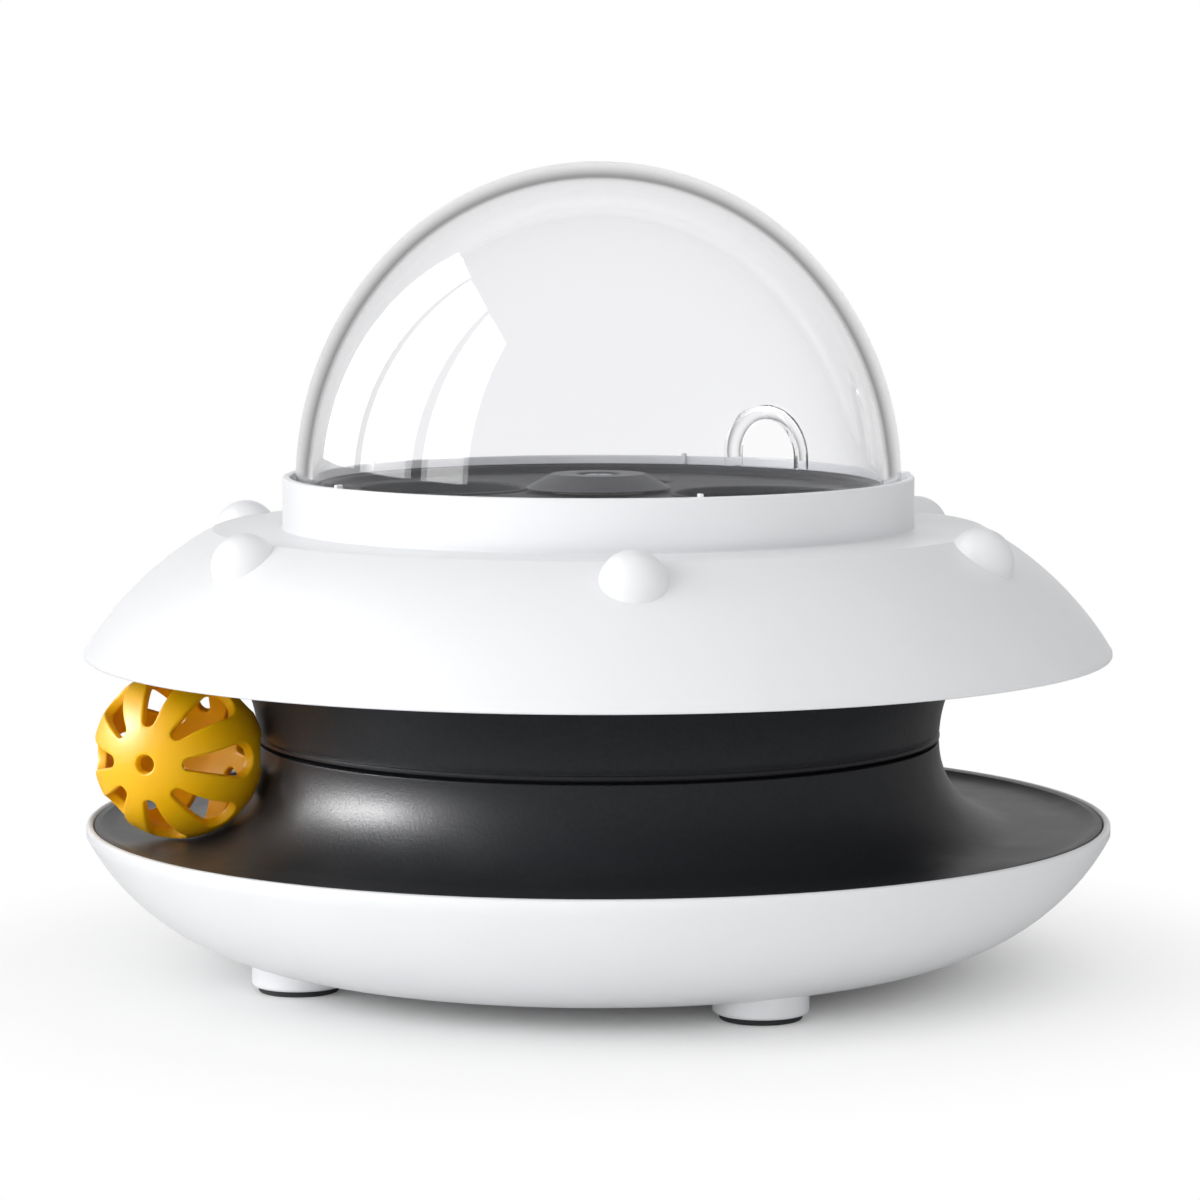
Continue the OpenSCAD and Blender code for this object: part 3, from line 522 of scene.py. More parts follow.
class TOY_OT_bowl(bpy.types.Operator):
    """Turns the white base bowl with its foot bosses, pad seats and screw recesses"""
    bl_idname = "toy.bowl"
    bl_label = "Base bowl"

    def execute(self, context):
        s = context.scene.toy_sizes
        side_z = s.rim_z - s.rim_band
        centre = (s.bowl_r - math.sqrt(s.bowl_curve ** 2 - (s.bowl_curve - side_z + s.bowl_z) ** 2),
                  s.bowl_z + s.bowl_curve)
        inner = s.bowl_curve - s.bowl_wall
        mouth_r = s.bowl_r - s.rim_lip
        lip = s.rim_lip / 2 * 0.98
        outer_end = math.asin((side_z - centre[1]) / s.bowl_curve)
        inner_end = -math.acos((s.seat_r - centre[0]) / inner)
        form = lathe(rounded(
            [(0, s.bowl_z)] + arc(centre, s.bowl_curve, -math.pi / 2, outer_end, 36)
            + [(s.bowl_r, s.rim_z, lip), (mouth_r, s.rim_z, lip), (mouth_r, s.seat_z, 0.3 * MM),
               (s.seat_r, s.seat_z, 0.4 * MM)]
            + arc(centre, inner, inner_end, -math.pi / 2, 30) + [(0, s.bowl_z + s.bowl_wall)]))
        boss_r = s.foot_d / 2
        middle = s.bowl_curve - s.bowl_wall / 2
        feet = ring_of(4, s.foot_turn, s.foot_circle)
        boss = repeat(peg(boss_r, s.foot_z, 3 * s.bowl_z, 0.9 * MM), feet)
        # the top of each boss ends in the middle of the bowl's wall
        for vert in boss.verts:
            if vert.co.z > 2 * s.bowl_z:
                out = max(vert.co.xy.length - centre[0], 0)
                vert.co.z = centre[1] - math.sqrt(middle ** 2 - out ** 2)
        form = combine(form, boss, "UNION")
        # posts for the tray's screws, with a stepped hole through each, and the seats of the pads
        posts = ring_of(4, POST_TURN, s.post_circle)
        post_r, post_top = 5.2 * MM, 10.6 * MM
        post = peg(post_r, s.bowl_z + s.bowl_wall / 2, post_top, high_round=0.4 * MM)
        form = combine(form, repeat(post, posts), "UNION")
        head_r, hole_r, hole_top = 2.9 * MM, 1.55 * MM, 12 * MM
        recess = lathe([(0, 0), (head_r, 0), (head_r, HEAD_SEAT), (hole_r, HEAD_SEAT), (hole_r, hole_top),
                        (0, hole_top)], steps=SMALL_STEPS)
        form = combine(form, repeat(recess, posts), "DIFFERENCE")
        pad_play = 0.1 * MM
        seat = peg(s.pad_d / 2 + pad_play, 0, s.pad_h)
        form = combine(form, repeat(seat, feet), "DIFFERENCE")
        keep_flat(make_piece("bowl_shell", form, moulded_white_abs, "base", ["base_bowl"]))
        return {"FINISHED"}


class TOY_OT_feet(bpy.types.Operator):
    """Makes the four rubber pads under the bowl"""
    bl_idname = "toy.feet"
    bl_label = "Rubber feet"

    def execute(self, context):
        s = context.scene.toy_sizes
        pad_r = s.pad_d / 2
        names = ("front_right", "rear_right", "rear_left", "front_left")
        for place, corner in zip(ring_of(4, s.foot_turn, s.foot_circle), names):
            form = lathe(rounded([
                (0, 0.25 * MM), (pad_r * 0.55, 0.25 * MM, 0.3 * MM), (pad_r * 0.6, 0, 0.3 * MM), (pad_r, 0, 0.6 * MM),
                (pad_r, s.pad_h, 0.2 * MM), (0, s.pad_h)
            ]), steps=SMALL_STEPS)
            repeat(form, [place])
            make_piece("rubber_pad_" + corner, form, moulded_black_rubber, "base",
                       ["foot_pad_" + corner])
        return {"FINISHED"}


class TOY_OT_tray(bpy.types.Operator):
    """Turns the black ball track with its deck, dust lip and screw posts"""
    bl_idname = "toy.tray"
    bl_label = "Track tray"

    def execute(self, context):
        s = context.scene.toy_sizes
        flare = s.deck_z - s.track_z
        under = flare + s.tray_wall
        centre = (s.track_r, s.deck_z)
        # the curl's arc, from the lip down to the track
        lip_r = s.tray_r - s.tray_lip
        curl_lean = math.acos(1 - (s.tray_z - s.track_z) / s.track_curl)
        curl_centre = (lip_r - s.track_curl * math.sin(curl_lean), s.track_z + s.track_curl)
        low, lip_end = 1.5 * math.pi, 1.5 * math.pi + curl_lean
        curl_under = s.track_curl + s.tray_wall
        under_lip = 1.5 * math.pi + math.acos((curl_centre[1] - s.tray_z + s.tray_wall) / curl_under)
        deck_under = s.deck_z - s.tray_wall
        lip_out, lip_top = s.dust_lip_r + 2 * MM, s.deck_z + 4.5 * MM
        bore = 8.1 * MM
        under_end = math.pi + math.asin(s.tray_wall / under)
        form = lathe(rounded(
            [(bore, s.deck_z), (s.dust_lip_r, s.deck_z, 0.4 * MM), (s.dust_lip_r, lip_top, 0.5 * MM),
             (lip_out, lip_top, 0.5 * MM), (lip_out, s.deck_z, 0.4 * MM), (s.neck_r, s.deck_z, 0.35 * MM)]
            + arc(centre, flare, math.pi, low, 40)[1:] + arc(curl_centre, s.track_curl, low, lip_end, 12)[:-1]
            + [(lip_r, s.tray_z, 0.8 * MM), (s.tray_r, s.tray_z, 0.5 * MM),
               (s.tray_r, s.tray_z - s.tray_wall, 0.3 * MM)]
            + arc(curl_centre, curl_under, under_lip, low, 8)
            + arc(centre, under, low, under_end, 24) + [(bore, deck_under)], closed=True), closed=True)
        post_r, post_z, overlap = 4 * MM, 10.7 * MM, 0.6 * MM
        post = peg(post_r, post_z, deck_under + overlap, 0.3 * MM)
        form = combine(form, repeat(post, ring_of(4, POST_TURN, s.post_circle)), "UNION")
        make_piece("ball_track", form, grained_black_abs, "base", ["track_tray"])
        return {"FINISHED"}


# Spinning top

class TOY_OT_neck(bpy.types.Operator):
    """Turns the black neck with its ceiling, web and sleeve"""
    bl_idname = "toy.neck"
    bl_label = "Neck hood"

    def execute(self, context):
        s = context.scene.toy_sizes
        wall = 2.4 * MM
        centre = (s.neck_r + s.neck_curve, s.neck_z)
        under = s.neck_curve + wall
        outer_end = math.pi - math.asin((s.ceiling_z - s.neck_z) / s.neck_curve)
        inner_end = math.pi - math.asin((s.ceiling_z + wall - s.neck_z) / under)
        web_top = s.web_z + wall
        top_end = math.pi - math.asin((web_top - s.neck_z) / under)
        low_end = math.pi - math.asin((s.web_z - s.neck_z) / under)
        sleeve_out = s.sleeve_r + s.sleeve_wall
        # a fine bead at the neck's lower edge, with a crease above it
        bead = 0.25 * MM
        bead_r, bead_z = s.neck_r + bead / 2, s.neck_z + 1 * MM
        crease_end = math.pi - math.asin(1.9 * MM / s.neck_curve)
        form = lathe(rounded(
            [(s.neck_r - wall, s.neck_z, 0.4 * MM), (bead_r, s.neck_z, 0.35 * MM), (bead_r, bead_z, 0.35 * MM),
             (s.neck_r - bead, bead_z + bead, bead)]
            + arc(centre, s.neck_curve, crease_end, outer_end, 24)
            + [(s.flange_r, s.ceiling_z, 0.4 * MM), (s.flange_r, s.ceiling_z + wall, 0.4 * MM)]
            + arc(centre, under, inner_end, top_end, 10)
            + [(sleeve_out, web_top), (sleeve_out, s.sleeve_top, 0.3 * MM), (s.sleeve_r, s.sleeve_top),
               (s.sleeve_r, s.sleeve_z), (sleeve_out, s.sleeve_z, 0.3 * MM), (sleeve_out, s.web_z)]
            + arc(centre, under, low_end, math.pi, 8)[:-1], closed=True), closed=True)
        rib_in, rib_out = sleeve_out - 0.5 * MM, s.neck_r - wall / 2
        rib_h = 13 * MM
        rib = block((rib_out - rib_in, wall, rib_h), ((rib_in + rib_out) / 2, 0, web_top - 0.5 * MM + rib_h / 2))
        form = combine(form, repeat(rib, ring_of(6, math.radians(30), 0)), "UNION")
        make_piece("neck_cowl", form, grained_black_abs, "top", ["neck_hood"])
        return {"FINISHED"}


class TOY_OT_saucer(bpy.types.Operator):
    """Turns the white saucer and collar, and adds the bumps and locating ribs"""
    bl_idname = "toy.saucer"
    bl_label = "Saucer shell"

    def execute(self, context):
        s = context.scene.toy_sizes
        edge, crease = Vector((s.saucer_r, s.lip_z + s.lip_band)), Vector((s.ledge_r, s.ledge_z))
        chord = edge - crease
        normal = Vector((-chord.y, chord.x)).normalized()
        centre = (edge + crease) / 2 - normal * math.sqrt(s.saucer_curve ** 2 - chord.length_squared / 4)
        inner = s.saucer_curve - s.saucer_wall
        outer_from = math.asin((edge.y - centre.y) / s.saucer_curve)
        outer_to = math.asin((crease.y - centre.y) / s.saucer_curve)
        ledge_under = s.ledge_z - s.saucer_wall
        inner_from = math.asin((ledge_under - centre.y) / inner)
        inner_to = math.acos((s.saucer_r - s.saucer_wall - centre.x) / inner)
        collar_in = s.collar_r - s.collar_wall
        form = lathe(rounded(
            [(s.saucer_r, s.lip_z, 0.5 * MM)]
            + arc(centre, s.saucer_curve, outer_from, outer_to, 40)[:-1]
            + [(s.ledge_r, s.ledge_z, 0.4 * MM), (s.collar_r, s.ledge_z, 0.45 * MM), (s.collar_r, s.collar_z, 0.6 * MM),
               (collar_in, s.collar_z, 0.35 * MM), (collar_in, s.shelf_z, 0.3 * MM), (s.shelf_r, s.shelf_z, 0.3 * MM),
               (s.shelf_r, ledge_under, 0.3 * MM)]
            + arc(centre, inner, inner_from, inner_to, 30)
            + [(s.saucer_r - s.saucer_wall, s.lip_z, 0.5 * MM)], closed=True), closed=True)
        # a bump is a ball cut off inside the saucer's wall
        slope = math.asin((s.ledge_r + 0.77 * s.bump_r - centre.x) / s.saucer_curve)
        bump = bmesh.new()
        bmesh.ops.create_uvsphere(bump, u_segments=SMALL_STEPS, v_segments=48, radius=s.bump_r)
        # depth of the ball's middle under the saucer's face
        sunk = s.bump_r - s.bump_h
        cut = bmesh.ops.bisect_plane(bump, geom=whole(bump),
                                     plane_co=(0, 0, sunk - 2 * MM), plane_no=UP, clear_inner=True)
        bmesh.ops.holes_fill(bump, edges=only(BMEdge, cut["geom_cut"]))
        weld(bump)
        tilt = (Matrix.Translation((centre.x, 0, centre.y)) @ Matrix.Rotation(slope, 4, "Y")
                @ Matrix.Translation((0, 0, s.saucer_curve - sunk)))
        repeat(bump, [place @ tilt for place in ring_of(6, s.bump_turn, 0)])
        form = combine(form, bump, "UNION")
        rib_in, rib_out = collar_in - 0.95 * MM, s.collar_r - s.collar_wall / 2
        rib_z = s.floor_edge_z + 0.1 * MM
        rib_top = s.collar_z + s.rib_h
        rib = block((rib_out - rib_in, s.rib_w, rib_top - rib_z), ((rib_in + rib_out) / 2, 0, (rib_z + rib_top) / 2))
        bmesh.ops.bevel(rib, geom=rib.edges[:], offset=0.2 * MM, affect="EDGES", segments=3, profile=0.5, material=-1)
        form = combine(form, repeat(rib, ring_of(5, s.rib_turn, 0)), "UNION")
        keep_flat(make_piece("saucer_shell", form, moulded_white_abs, "top", ["saucer_cover"]))
        return {"FINISHED"}


class TOY_OT_floor(bpy.types.Operator):
    """Turns the black treat floor with its raised edge, dome groove and wells"""
    bl_idname = "toy.treat_floor"
    bl_label = "Treat floor"

    def execute(self, context):
        s = context.scene.toy_sizes
        under = s.floor_z - s.floor_wall
        bore, ring_r = 9 * MM, s.shelf_r + 1 * MM
        edge_in = s.groove_in - 1.6 * MM
        form = lathe(rounded([
            (bore, under), (ring_r, under), (ring_r, s.shelf_z), (s.floor_r, s.shelf_z, 0.3 * MM),
            (s.floor_r, s.floor_edge_z, 0.3 * MM), (s.groove_r, s.floor_edge_z, 0.3 * MM), (s.groove_r, s.groove_z),
            (s.groove_in, s.groove_z), (s.groove_in, s.floor_edge_z, 0.7 * MM), (edge_in, s.floor_edge_z, 0.7 * MM),
            (edge_in, s.floor_z, 0.8 * MM), (bore, s.floor_z, 0.4 * MM)
        ], closed=True), closed=True)
        wall, lip_w, lip_h = 1.8 * MM, 1.4 * MM, 0.5 * MM
        wells = [(s.well_d / 2, s.well_depth, lip_h, ring_of(2, s.well_turn, s.well_circle, s.floor_z)),
                 (s.small_well_d / 2, s.small_well_depth, 0.02 * MM,
                  [around(s.small_well_turn, s.small_well_r, s.floor_z)])]
        for radius, depth, lip, places in wells:
            hole_r = radius + lip_w / 2
            hole = peg(hole_r, -2 * s.floor_wall, s.floor_wall, steps=CUP_STEPS)
            form = combine(form, repeat(hole, places), "DIFFERENCE")
            cup = lathe(rounded([
                (0, -depth - wall), (radius + wall, -depth - wall, 1.5 * MM),
                (radius + wall, -s.floor_wall / 2, 0.2 * MM), (radius + lip_w, -s.floor_wall / 2),
                (radius + lip_w, lip, 0.4 * MM), (radius, lip, 0.5 * MM),
                (radius, -depth, 1.5 * MM), (0, -depth)
            ]), steps=CUP_STEPS)
            form = combine(form, repeat(cup, places), "UNION")
        keep_flat(make_piece("treat_tray", form, matt_black_abs, "top", ["treat_floor"]))
        return {"FINISHED"}


class TOY_OT_hub(bpy.types.Operator):
    """Turns the hub cap and the screw in its hole"""
    bl_idname = "toy.hub"
    bl_label = "Hub cap and screw"

    def execute(self, context):
        s = context.scene.toy_sizes
        low, high = (corner.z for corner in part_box("hub_cap"))
        hole_z = high - s.hub_hole_depth
        bore = 2.05 * MM
        form = lathe(rounded([
            (bore, low), (s.hub_r, low, 0.2 * MM), (s.hub_top, high, 0.5 * MM), (s.hub_hole, high, 0.4 * MM),
            (s.hub_hole, hole_z, 0.3 * MM), (bore, hole_z)
        ], closed=True), closed=True, steps=CUP_STEPS)
        make_piece("hub_cone", form, grained_black_abs, "base", ["hub_cap"])
        head_h = 1.7 * MM
        screw = pan_screw(2 * MM, 4.5 * MM, head_h, 12.5 * MM)
        repeat(screw, [Matrix.Translation((0, 0, hole_z))])
        make_piece("hub_cross_screw", screw, zinc_plated_steel, "base", ["hub_screw"])
        return {"FINISHED"}


class TOY_OT_screws(bpy.types.Operator):
    """Makes the screws that show under the bowl and under the ceiling of the track"""
    bl_idname = "toy.screws"
    bl_label = "Screws"

    def execute(self, context):
        s = context.scene.toy_sizes
        turned = Matrix.Rotation(math.pi, 4, "X")
        rows = (("bowl_screw_set", "base", "tray_screws", 14.0, ring_of(4, POST_TURN, s.post_circle, HEAD_SEAT)),
                ("ceiling_screw_set", "top", "neck_screws", 8.0,
                 ring_of(6, s.bump_turn + math.radians(30), s.flange_r - 5.5 * MM, s.ceiling_z)))
        for name, body, node, reach, places in rows:
            screw = pan_screw(1.5 * MM, 2.8 * MM, 1.8 * MM, reach * MM)
            repeat(screw, [place @ turned for place in places])
            make_piece(name, screw, zinc_plated_steel, body, [node])
        return {"FINISHED"}


class TOY_OT_bearing(bpy.types.Operator):
    """Gives the bearing pieces and the inner screws, which keep their solids, their materials"""
    bl_idname = "toy.bearing"
    bl_label = "Bearing"

    def execute(self, context):
        rows = ((natural_acetal, ("spindle", "thrust_washer", "slip_washer", "lower_bush", "upper_bush")),
                (zinc_plated_steel, ("spindle_screws", "floor_screws")))
        for finish, names in rows:
            for name in names:
                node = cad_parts[name]
                if not node.material_slots:
                    node.data.materials.append(None)
                for place in node.material_slots:
                    place.material = material_of(finish)
        return {"FINISHED"}


# Dome

def dome_curve(s, grow, steps):
    """Points of the dome's face, grown by a margin, from its top down to its foot."""
    rise = s.dome_top - s.dome_z - s.dome_foot_h - s.dome_r
    spread = rise / (math.sqrt(2) - 1)
    side_r = s.dome_r + spread / math.sqrt(2)
    top_r = s.dome_r + rise - spread / math.sqrt(2)
    widest = s.dome_z + s.dome_foot_h
    top_centre = (0, s.dome_top - top_r)
    side_centre = (s.dome_r - side_r, widest)
    low = -math.asin(s.dome_foot_h / (side_r + grow))
    return (arc(top_centre, top_r + grow, math.pi / 2, math.pi / 4, steps)
            + arc(side_centre, side_r + grow, math.pi / 4, low, steps)[1:])


def dome_radius(s, height):
    """Radius of the middle of the dome's wall at a height near its widest level."""
    curve = dome_curve(s, -s.dome_wall / 2, 64)
    for above, below in zip(curve, curve[1:]):
        if below[1] <= height <= above[1]:
            share = (height - below[1]) / (above[1] - below[1])
            return below[0] + share * (above[0] - below[0])
    raise RuntimeError("the height is not on the dome")


def arch_path(s, half_w, low):
    """Points of an arch, as sideways place and height, from its left foot to its right foot."""
    spring = s.outlet_z + s.outlet_side
    sides = 8
    left = [(-half_w, low + (spring - low) * i / sides) for i in range(sides)]
    top = arc((0, spring), half_w, math.pi, 0, 32)
    return left + top + [(-y, z) for y, z in reversed(left)]


def outlet_bead(s):
    """A rounded bar that follows the outlet's arch in the dome's wall."""
    half_w, half_t = s.bead_w / 2, s.dome_wall / 2 + s.bead_h
    path = arch_path(s, s.outlet_w / 2 + half_w, s.outlet_z)
    turn = 0.95 * half_w
    section = rounded([(-half_w, -half_t, turn), (half_w, -half_t, turn), (half_w, half_t, turn),
                       (-half_w, half_t, turn)], closed=True)
    points = [Vector((math.sqrt(dome_radius(s, z) ** 2 - y ** 2), y, z)) for y, z in path]
    places = []
    for i, point in enumerate(points):
        along = (points[min(i + 1, len(points) - 1)] - points[max(i - 1, 0)]).normalized()
        out = Vector((point.x, point.y, 0)).normalized()
        across = along.cross(out).normalized()
        out = across.cross(along)
        places.append(Matrix.Translation(point) @ Matrix((across, out, along)).transposed().to_4x4())
    bead = bmesh.new()
    loop = [bead.verts.new(places[0] @ Vector((x, y, 0))) for x, y in section]
    end = bead.faces.new(loop)
    edges = list(end.edges)
    for before, after in zip(places, places[1:]):
        made = bmesh.ops.extrude_edge_only(bead, edges=edges)["geom"]
        edges = only(BMEdge, made)
        bmesh.ops.transform(bead, matrix=after @ before.inverted(), verts=only(BMVert, made))
    bmesh.ops.edgeloop_fill(bead, edges=edges)
    weld(bead)
    return bead


class TOY_OT_dome(bpy.types.Operator):
    """Turns the clear dome and opens its treat outlet inside a rounded bead"""
    bl_idname = "toy.dome"
    bl_label = "Dome"

    def execute(self, context):
        s = context.scene.toy_sizes
        outer = dome_curve(s, 0, 40)
        inner = dome_curve(s, -s.dome_wall, 40)
        foot = [(outer[-1][0], s.dome_z, 0.5 * MM), (inner[-1][0], s.dome_z, 0.5 * MM)]
        form = lathe(rounded(outer[:-1] + foot + inner[-2::-1]))
        # the hole ends inside the bead
        path = arch_path(s, s.outlet_w / 2 + s.bead_w / 2, s.outlet_z)
        hole = bmesh.new()
        near, depth = s.dome_r - 5 * s.dome_wall, 8 * s.dome_wall
        face = hole.faces.new([hole.verts.new((near, y, z)) for y, z in path])
        made = bmesh.ops.extrude_face_region(hole, geom=[face])["geom"]
        bmesh.ops.translate(hole, vec=(depth, 0, 0), verts=only(BMVert, made))
        weld(hole)
        place = [around(s.outlet_turn)]
        form = combine(form, repeat(hole, place), "DIFFERENCE")
        form = combine(form, repeat(outlet_bead(s), place), "UNION")
        keep_flat(make_piece("clear_dome_shell", form, clear_polystyrene, "dome", ["dome"]))
        return {"FINISHED"}


# Ball

class TOY_OT_ball(bpy.types.Operator):
    """Makes the hollow ball with rounded teardrop slots round each pole"""
    bl_idname = "toy.ball"
    bl_label = "Play ball"

    def execute(self, context):
        s = context.scene.toy_sizes
        low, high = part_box("play_ball")
        middle, ball_r = (low + high) / 2, (high.z - low.z) / 2
        slots = 8
        half_step = math.pi / slots
        half_l = ball_r * math.sin((s.slot_to - s.slot_from) / 2)
        tip_x, end_x = s.slot_tip - half_l, half_l - s.slot_end
        lean = math.asin((s.slot_end - s.slot_tip) / (end_x - tip_x))
        # one half of the slot's outline, from its wide end to its tip, and the sector's edge outside it
        bend = math.pi / 2 + lean
        wide = arc((end_x, 0), s.slot_end, 0, bend, 12)
        tip = arc((tip_x, 0), s.slot_tip, bend, math.pi, 4)
        sides = [tuple(Vector(wide[-1]).lerp(Vector(tip[0]), i / 8)) for i in range(1, 8)]
        half = wide + sides + tip
        pole_angle = math.asin(s.pole_hole / 2 / ball_r)
        equator, side, pole = 8, 14, 2
        edge = ([(math.pi / 2, half_step * i / equator) for i in range(equator)]
                + [(math.pi / 2 + (pole_angle - math.pi / 2) * i / side, half_step) for i in range(side)]
                + [(pole_angle, half_step * (1 - i / pole)) for i in range(pole + 1)])
        slot_points = half + [(x, -y) for x, y in reversed(half[1:-1])]
        edge_points = edge + [(polar, -turn) for polar, turn in reversed(edge[1:-1])]
        tilt = Matrix.Rotation((s.slot_from + s.slot_to) / 2, 4, "Y")
        form = bmesh.new()
        loop = [form.verts.new(tilt @ Vector((x, y, math.sqrt(ball_r ** 2 - x * x - y * y)))) for x, y in slot_points]
        edges = [form.edges.new((loop[i], loop[(i + 1) % len(loop)])) for i in range(len(loop))]
        made = bmesh.ops.extrude_edge_only(form, edges=edges)["geom"]
        spokes = {v: e.other_vert(v) for v in loop for e in v.link_edges if e not in edges}
        for vert, (polar, turn) in zip(loop, edge_points):
            spokes[vert].co = ball_r * Vector((math.sin(polar) * math.cos(turn), math.sin(polar) * math.sin(turn),
                                               math.cos(polar)))
        rungs = [e for v in loop for e in v.link_edges if e not in edges]
        bmesh.ops.subdivide_edges(form, edges=rungs, cuts=2, use_grid_fill=True)
        for vert in form.verts:
            vert.co = vert.co.normalized() * ball_r
        bmesh.ops.spin(form, geom=whole(form), cent=(0, 0, 0), axis=UP,
                       angle=math.tau * (slots - 1) / slots, steps=slots - 1, use_duplicate=True)
        bmesh.ops.remove_doubles(form, verts=form.verts, dist=5 * MERGE)
        bmesh.ops.mirror(form, geom=whole(form), matrix=Matrix.Identity(4),
                         merge_dist=5 * MERGE, axis="Z")
        bmesh.ops.remove_doubles(form, verts=form.verts, dist=5 * MERGE)
        bmesh.ops.recalc_face_normals(form, faces=form.faces)
        bmesh.ops.solidify(form, geom=form.faces[:], thickness=s.ball_wall)
        rims = [e for e in form.edges if len(e.link_faces) == 2 and e.calc_face_angle() > math.radians(50)]
        bmesh.ops.bevel(form, geom=rims, offset=s.slot_round, affect="EDGES", segments=3, profile=0.5, material=-1,
                        clamp_overlap=True)
        bmesh.ops.transform(form, verts=form.verts, matrix=Matrix.Translation(middle)
                            @ Matrix.Rotation(s.ball_turn - math.pi / 2, 4, "Z") @ Matrix.Rotation(math.pi / 2, 4, "Y"))
        piece = make_piece("slotted_ball", form, moulded_yellow_polypropylene, "ball", ["play_ball"])
        smooth = piece.modifiers.new("smooth", "SUBSURF")
        smooth.levels = smooth.render_levels = 1
        return {"FINISHED"}


# Stage

def seen_rays(tree):
    """Light Path, and a value that is 1 for rays from the camera, from gloss and through glass."""
    rays = add_node(tree, "ShaderNodeLightPath")
    mirror = add_node(tree, "ShaderNodeMath", {0: (rays, "Is Camera Ray"), 1: (rays, "Is Glossy Ray")},
                      operation="MAXIMUM")
    shown = add_node(tree, "ShaderNodeMath", {0: (mirror, 0), 1: (rays, "Is Transmission Ray")}, operation="MAXIMUM")
    return rays, shown


def backdrop(tree, rays, aim, settings):
    """Brightness towards a direction: white to the camera, to gloss white behind the toy and dim elsewhere, and
    to glass white with a dimmer strip at each side of the backdrop, which draws the edge of the dome."""
    split = add_node(tree, "ShaderNodeSeparateXYZ", {0: aim})
    gloss = add_node(tree, "ShaderNodeMapRange", {"Value": (split, "Y"), "From Min": ROOM_END, "From Max": BACKDROP,
                                                  "To Min": settings.room, "To Max": 1.0})
    behind = add_node(tree, "ShaderNodeMapRange", {"Value": (split, "Y"), "From Min": STRIP_MIDDLE,
                                                   "From Max": BACKDROP, "To Min": settings.edge_strip,
                                                   "To Max": 1.0})
    round_about = add_node(tree, "ShaderNodeMapRange", {"Value": (split, "Y"), "From Min": ROOM_END,
                                                        "From Max": STRIP_MIDDLE, "To Min": 1.0,
                                                        "To Max": settings.edge_strip})
    glass = add_node(tree, "ShaderNodeMath", {0: (behind, 0), 1: (round_about, 0)}, operation="MAXIMUM")
    level = add_node(tree, "ShaderNodeMix", {"Factor": (rays, "Is Transmission Ray"), 2: (gloss, 0), 3: (glass, 0)})
    return add_node(tree, "ShaderNodeMath", {0: (rays, "Is Camera Ray"), 1: (level, 0)}, operation="MAXIMUM")


def matt_studio_paper(tree, place, colours):
    """Matt white background paper: it keeps the toy's shadow, and away from the toy it is plain white to the eye."""
    settings = bpy.context.scene.toy_stage
    rays, shown = seen_rays(tree)
    paper = add_node(tree, "ShaderNodeBsdfDiffuse", {"Color": opaque(colours.floor)})
    lift = add_node(tree, "ShaderNodeMath", {0: (shown, 0), 1: settings.floor_lift}, operation="MULTIPLY")
    glow = add_node(tree, "ShaderNodeEmission", {"Color": WHITE, "Strength": (lift, 0)})
    near = add_node(tree, "ShaderNodeAddShader", {0: (paper, 0), 1: (glow, 0)})
    aim = add_node(tree, "ShaderNodeVectorMath", {0: place}, operation="NORMALIZE")
    level = backdrop(tree, rays, (aim, 0), settings)
    plain = add_node(tree, "ShaderNodeEmission", {"Color": WHITE, "Strength": (level, 0)})
    reach = add_node(tree, "ShaderNodeVectorMath", {0: place}, operation="LENGTH")
    edge = add_node(tree, "ShaderNodeMapRange", {"Value": (reach, "Value"), "From Min": settings.shadow_from,
                                                 "From Max": settings.shadow_to}, interpolation_type="SMOOTHSTEP")
    beyond = add_node(tree, "ShaderNodeMath", {0: (edge, 0), 1: (shown, 0)}, operation="MULTIPLY")
    return add_node(tree, "ShaderNodeMixShader", {0: (beyond, 0), 1: (near, 0), 2: (plain, 0)})


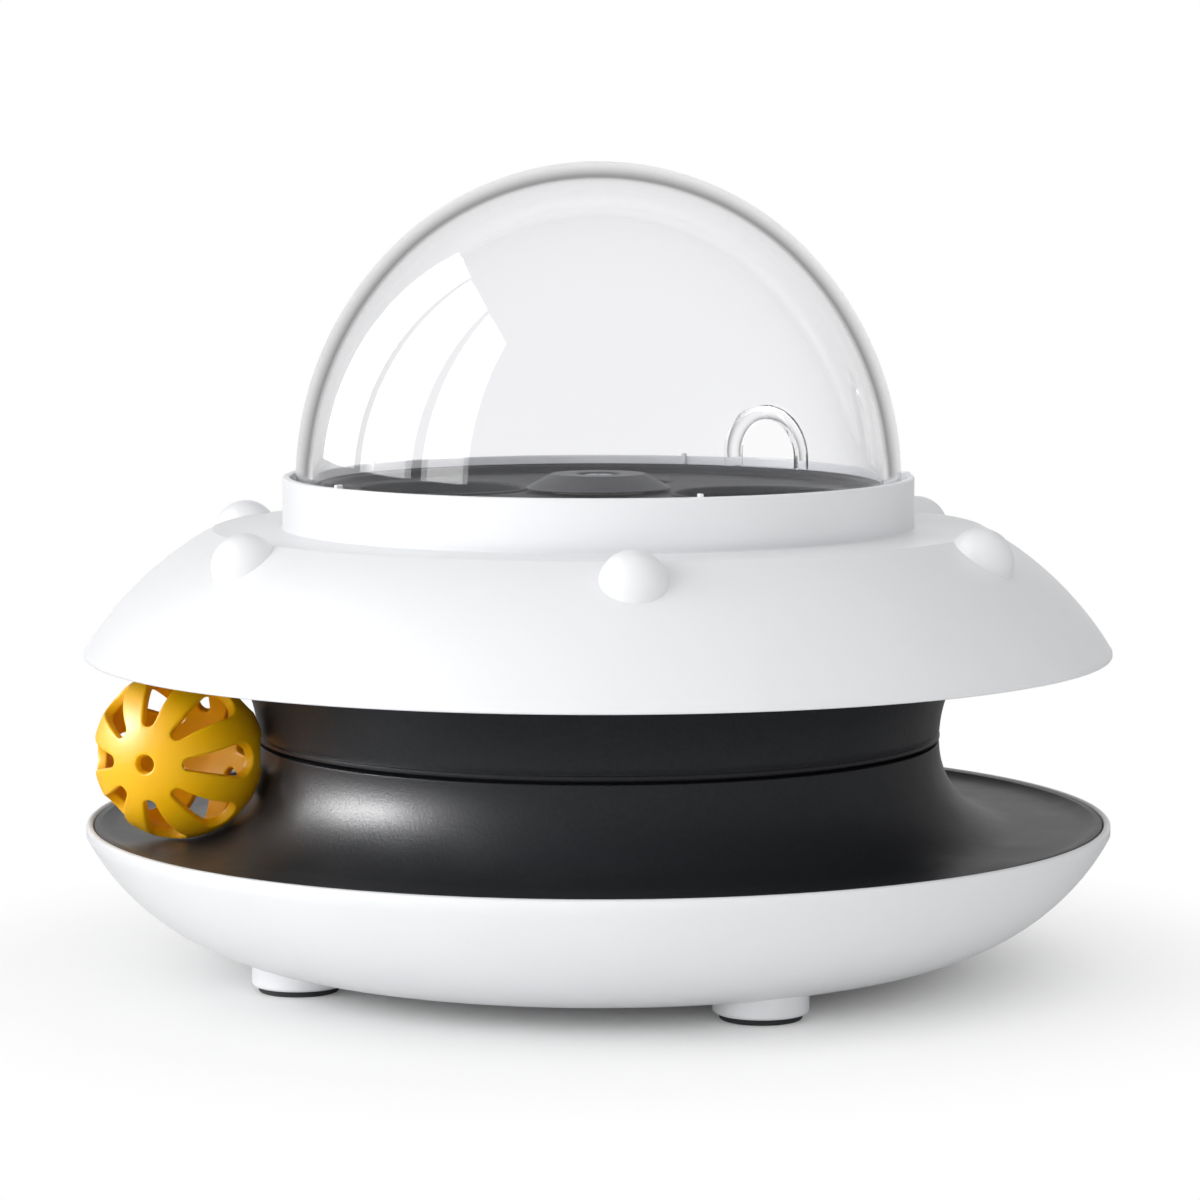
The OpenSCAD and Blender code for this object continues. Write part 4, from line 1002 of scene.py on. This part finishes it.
class TOY_OT_stage(bpy.types.Operator):
    """Sets the pale floor, the window light, the white room and the camera"""
    bl_idname = "toy.stage"
    bl_label = "Studio stage"

    def execute(self, context):
        scene = context.scene
        settings = scene.toy_stage
        scene.view_settings.view_transform = "Standard"

        sheet = bmesh.new()
        bmesh.ops.create_grid(sheet, x_segments=2, y_segments=2, size=6.0)
        mesh = bpy.data.meshes.new("studio_floor")
        sheet.to_mesh(mesh)
        sheet.free()
        floor = bpy.data.objects.new("studio_floor", mesh)
        scene.collection.objects.link(floor)
        mesh.materials.append(material_of(matt_studio_paper))

        world = bpy.data.worlds.new("white_room")
        scene.world = world
        world.use_nodes = True
        tree = world.node_tree
        tree.nodes.clear()
        rays, shown = seen_rays(tree)
        place = add_node(tree, "ShaderNodeTexCoord")
        level = backdrop(tree, rays, (place, "Generated"), settings)
        fill = add_node(tree, "ShaderNodeBackground", {"Color": WHITE, "Strength": settings.fill})
        white = add_node(tree, "ShaderNodeBackground", {"Color": WHITE, "Strength": (level, 0)})
        mixed = add_node(tree, "ShaderNodeMixShader", {0: (shown, 0), 1: (fill, 0), 2: (white, 0)})
        add_node(tree, "ShaderNodeOutputWorld", {"Surface": (mixed, 0)})

        # a tall window of three panes on the left that shows in gloss, and the soft lights of the room
        middle = Vector((0, 0, 0.09))
        lamps = [("window_pane_%d" % i, (-1.2, y, 0.97), (0.5, 1.66), settings.window_power, Vector((0, y, 0.97)))
                 for i, y in enumerate((-0.74, -0.07, 0.6))]
        lamps += [("window_glare", (-1.15, -0.16, 0.6), (0.5, 0.3), settings.glare_power, middle),
                  ("soft_key", (-1.25, -0.74, 0.5), (1.3, 0.9), settings.key_power, middle),
                  ("soft_top", (0.35, -0.1, 1.5), (1.2, 1.2), settings.top_power, middle),
                  ("front_card", (0, -0.62, 0.045), (1.4, 0.07), settings.front_power, middle)]
        for name, place, (wide, tall), power, aim in lamps:
            lamp = bpy.data.lights.new(name, "AREA")
            lamp.shape = "RECTANGLE"
            lamp.size, lamp.size_y = wide, tall
            lamp.energy = power
            holder = bpy.data.objects.new(name, lamp)
            holder.location = place
            holder.rotation_euler = (aim - holder.location).to_track_quat("-Z", "Y").to_euler()
            seen = name.startswith("window")
            holder.visible_glossy = holder.visible_transmission = seen
            holder.visible_diffuse = not seen
            scene.collection.objects.link(holder)
            if name == "window_glare":
                # the glare shows on the satin black and the ball, and leaves the white shells and the dome alone
                satin = bpy.data.collections.new("satin_pieces")
                for piece in ("ball_track", "neck_cowl", "slotted_ball"):
                    satin.objects.link(scene.objects[piece])
                holder.light_linking.receiver_collection = satin

        camera = bpy.data.cameras.new("photo_camera")
        camera.lens = settings.camera_lens
        camera.sensor_width = 36.0
        # the toy's axis stands 1.6 of the photograph's 1200 pixels left of its middle
        camera.shift_x = 1.6 / 1200
        holder = bpy.data.objects.new("photo_camera", camera)
        holder.location = (0, -settings.camera_y, settings.camera_z)
        holder.rotation_euler = (math.pi / 2 - settings.camera_pitch, 0, 0)
        scene.collection.objects.link(holder)
        scene.camera = holder
        return {"FINISHED"}


PIECES = (TOY_OT_bowl, TOY_OT_feet, TOY_OT_tray, TOY_OT_neck, TOY_OT_saucer, TOY_OT_floor, TOY_OT_hub, TOY_OT_screws,
          TOY_OT_bearing, TOY_OT_dome, TOY_OT_ball, TOY_OT_stage)


class TOY_PT_panel(bpy.types.Panel):
    """Lists the toy's pieces in the sidebar of the 3D view"""
    bl_idname = "TOY_PT_panel"
    bl_label = "Treat toy"
    bl_space_type = "VIEW_3D"
    bl_region_type = "UI"
    bl_category = "Treat toy"

    def draw(self, context):
        for piece in PIECES:
            self.layout.operator(piece.bl_idname)


CLASSES = (ToyColours, ToySizes, StageSettings, *PIECES, TOY_PT_panel)


def register():
    for cls in CLASSES:
        bpy.utils.register_class(cls)
    bpy.types.Scene.toy_colours = bpy.props.PointerProperty(type=ToyColours)
    bpy.types.Scene.toy_sizes = bpy.props.PointerProperty(type=ToySizes)
    bpy.types.Scene.toy_stage = bpy.props.PointerProperty(type=StageSettings)


def unregister():
    del bpy.types.Scene.toy_stage, bpy.types.Scene.toy_sizes, bpy.types.Scene.toy_colours
    for cls in reversed(CLASSES):
        bpy.utils.unregister_class(cls)


def main():
    register()
    for piece in PIECES:
        group, name = piece.bl_idname.split(".")
        getattr(getattr(bpy.ops, group), name)()


if __name__ == "__main__":
    main()
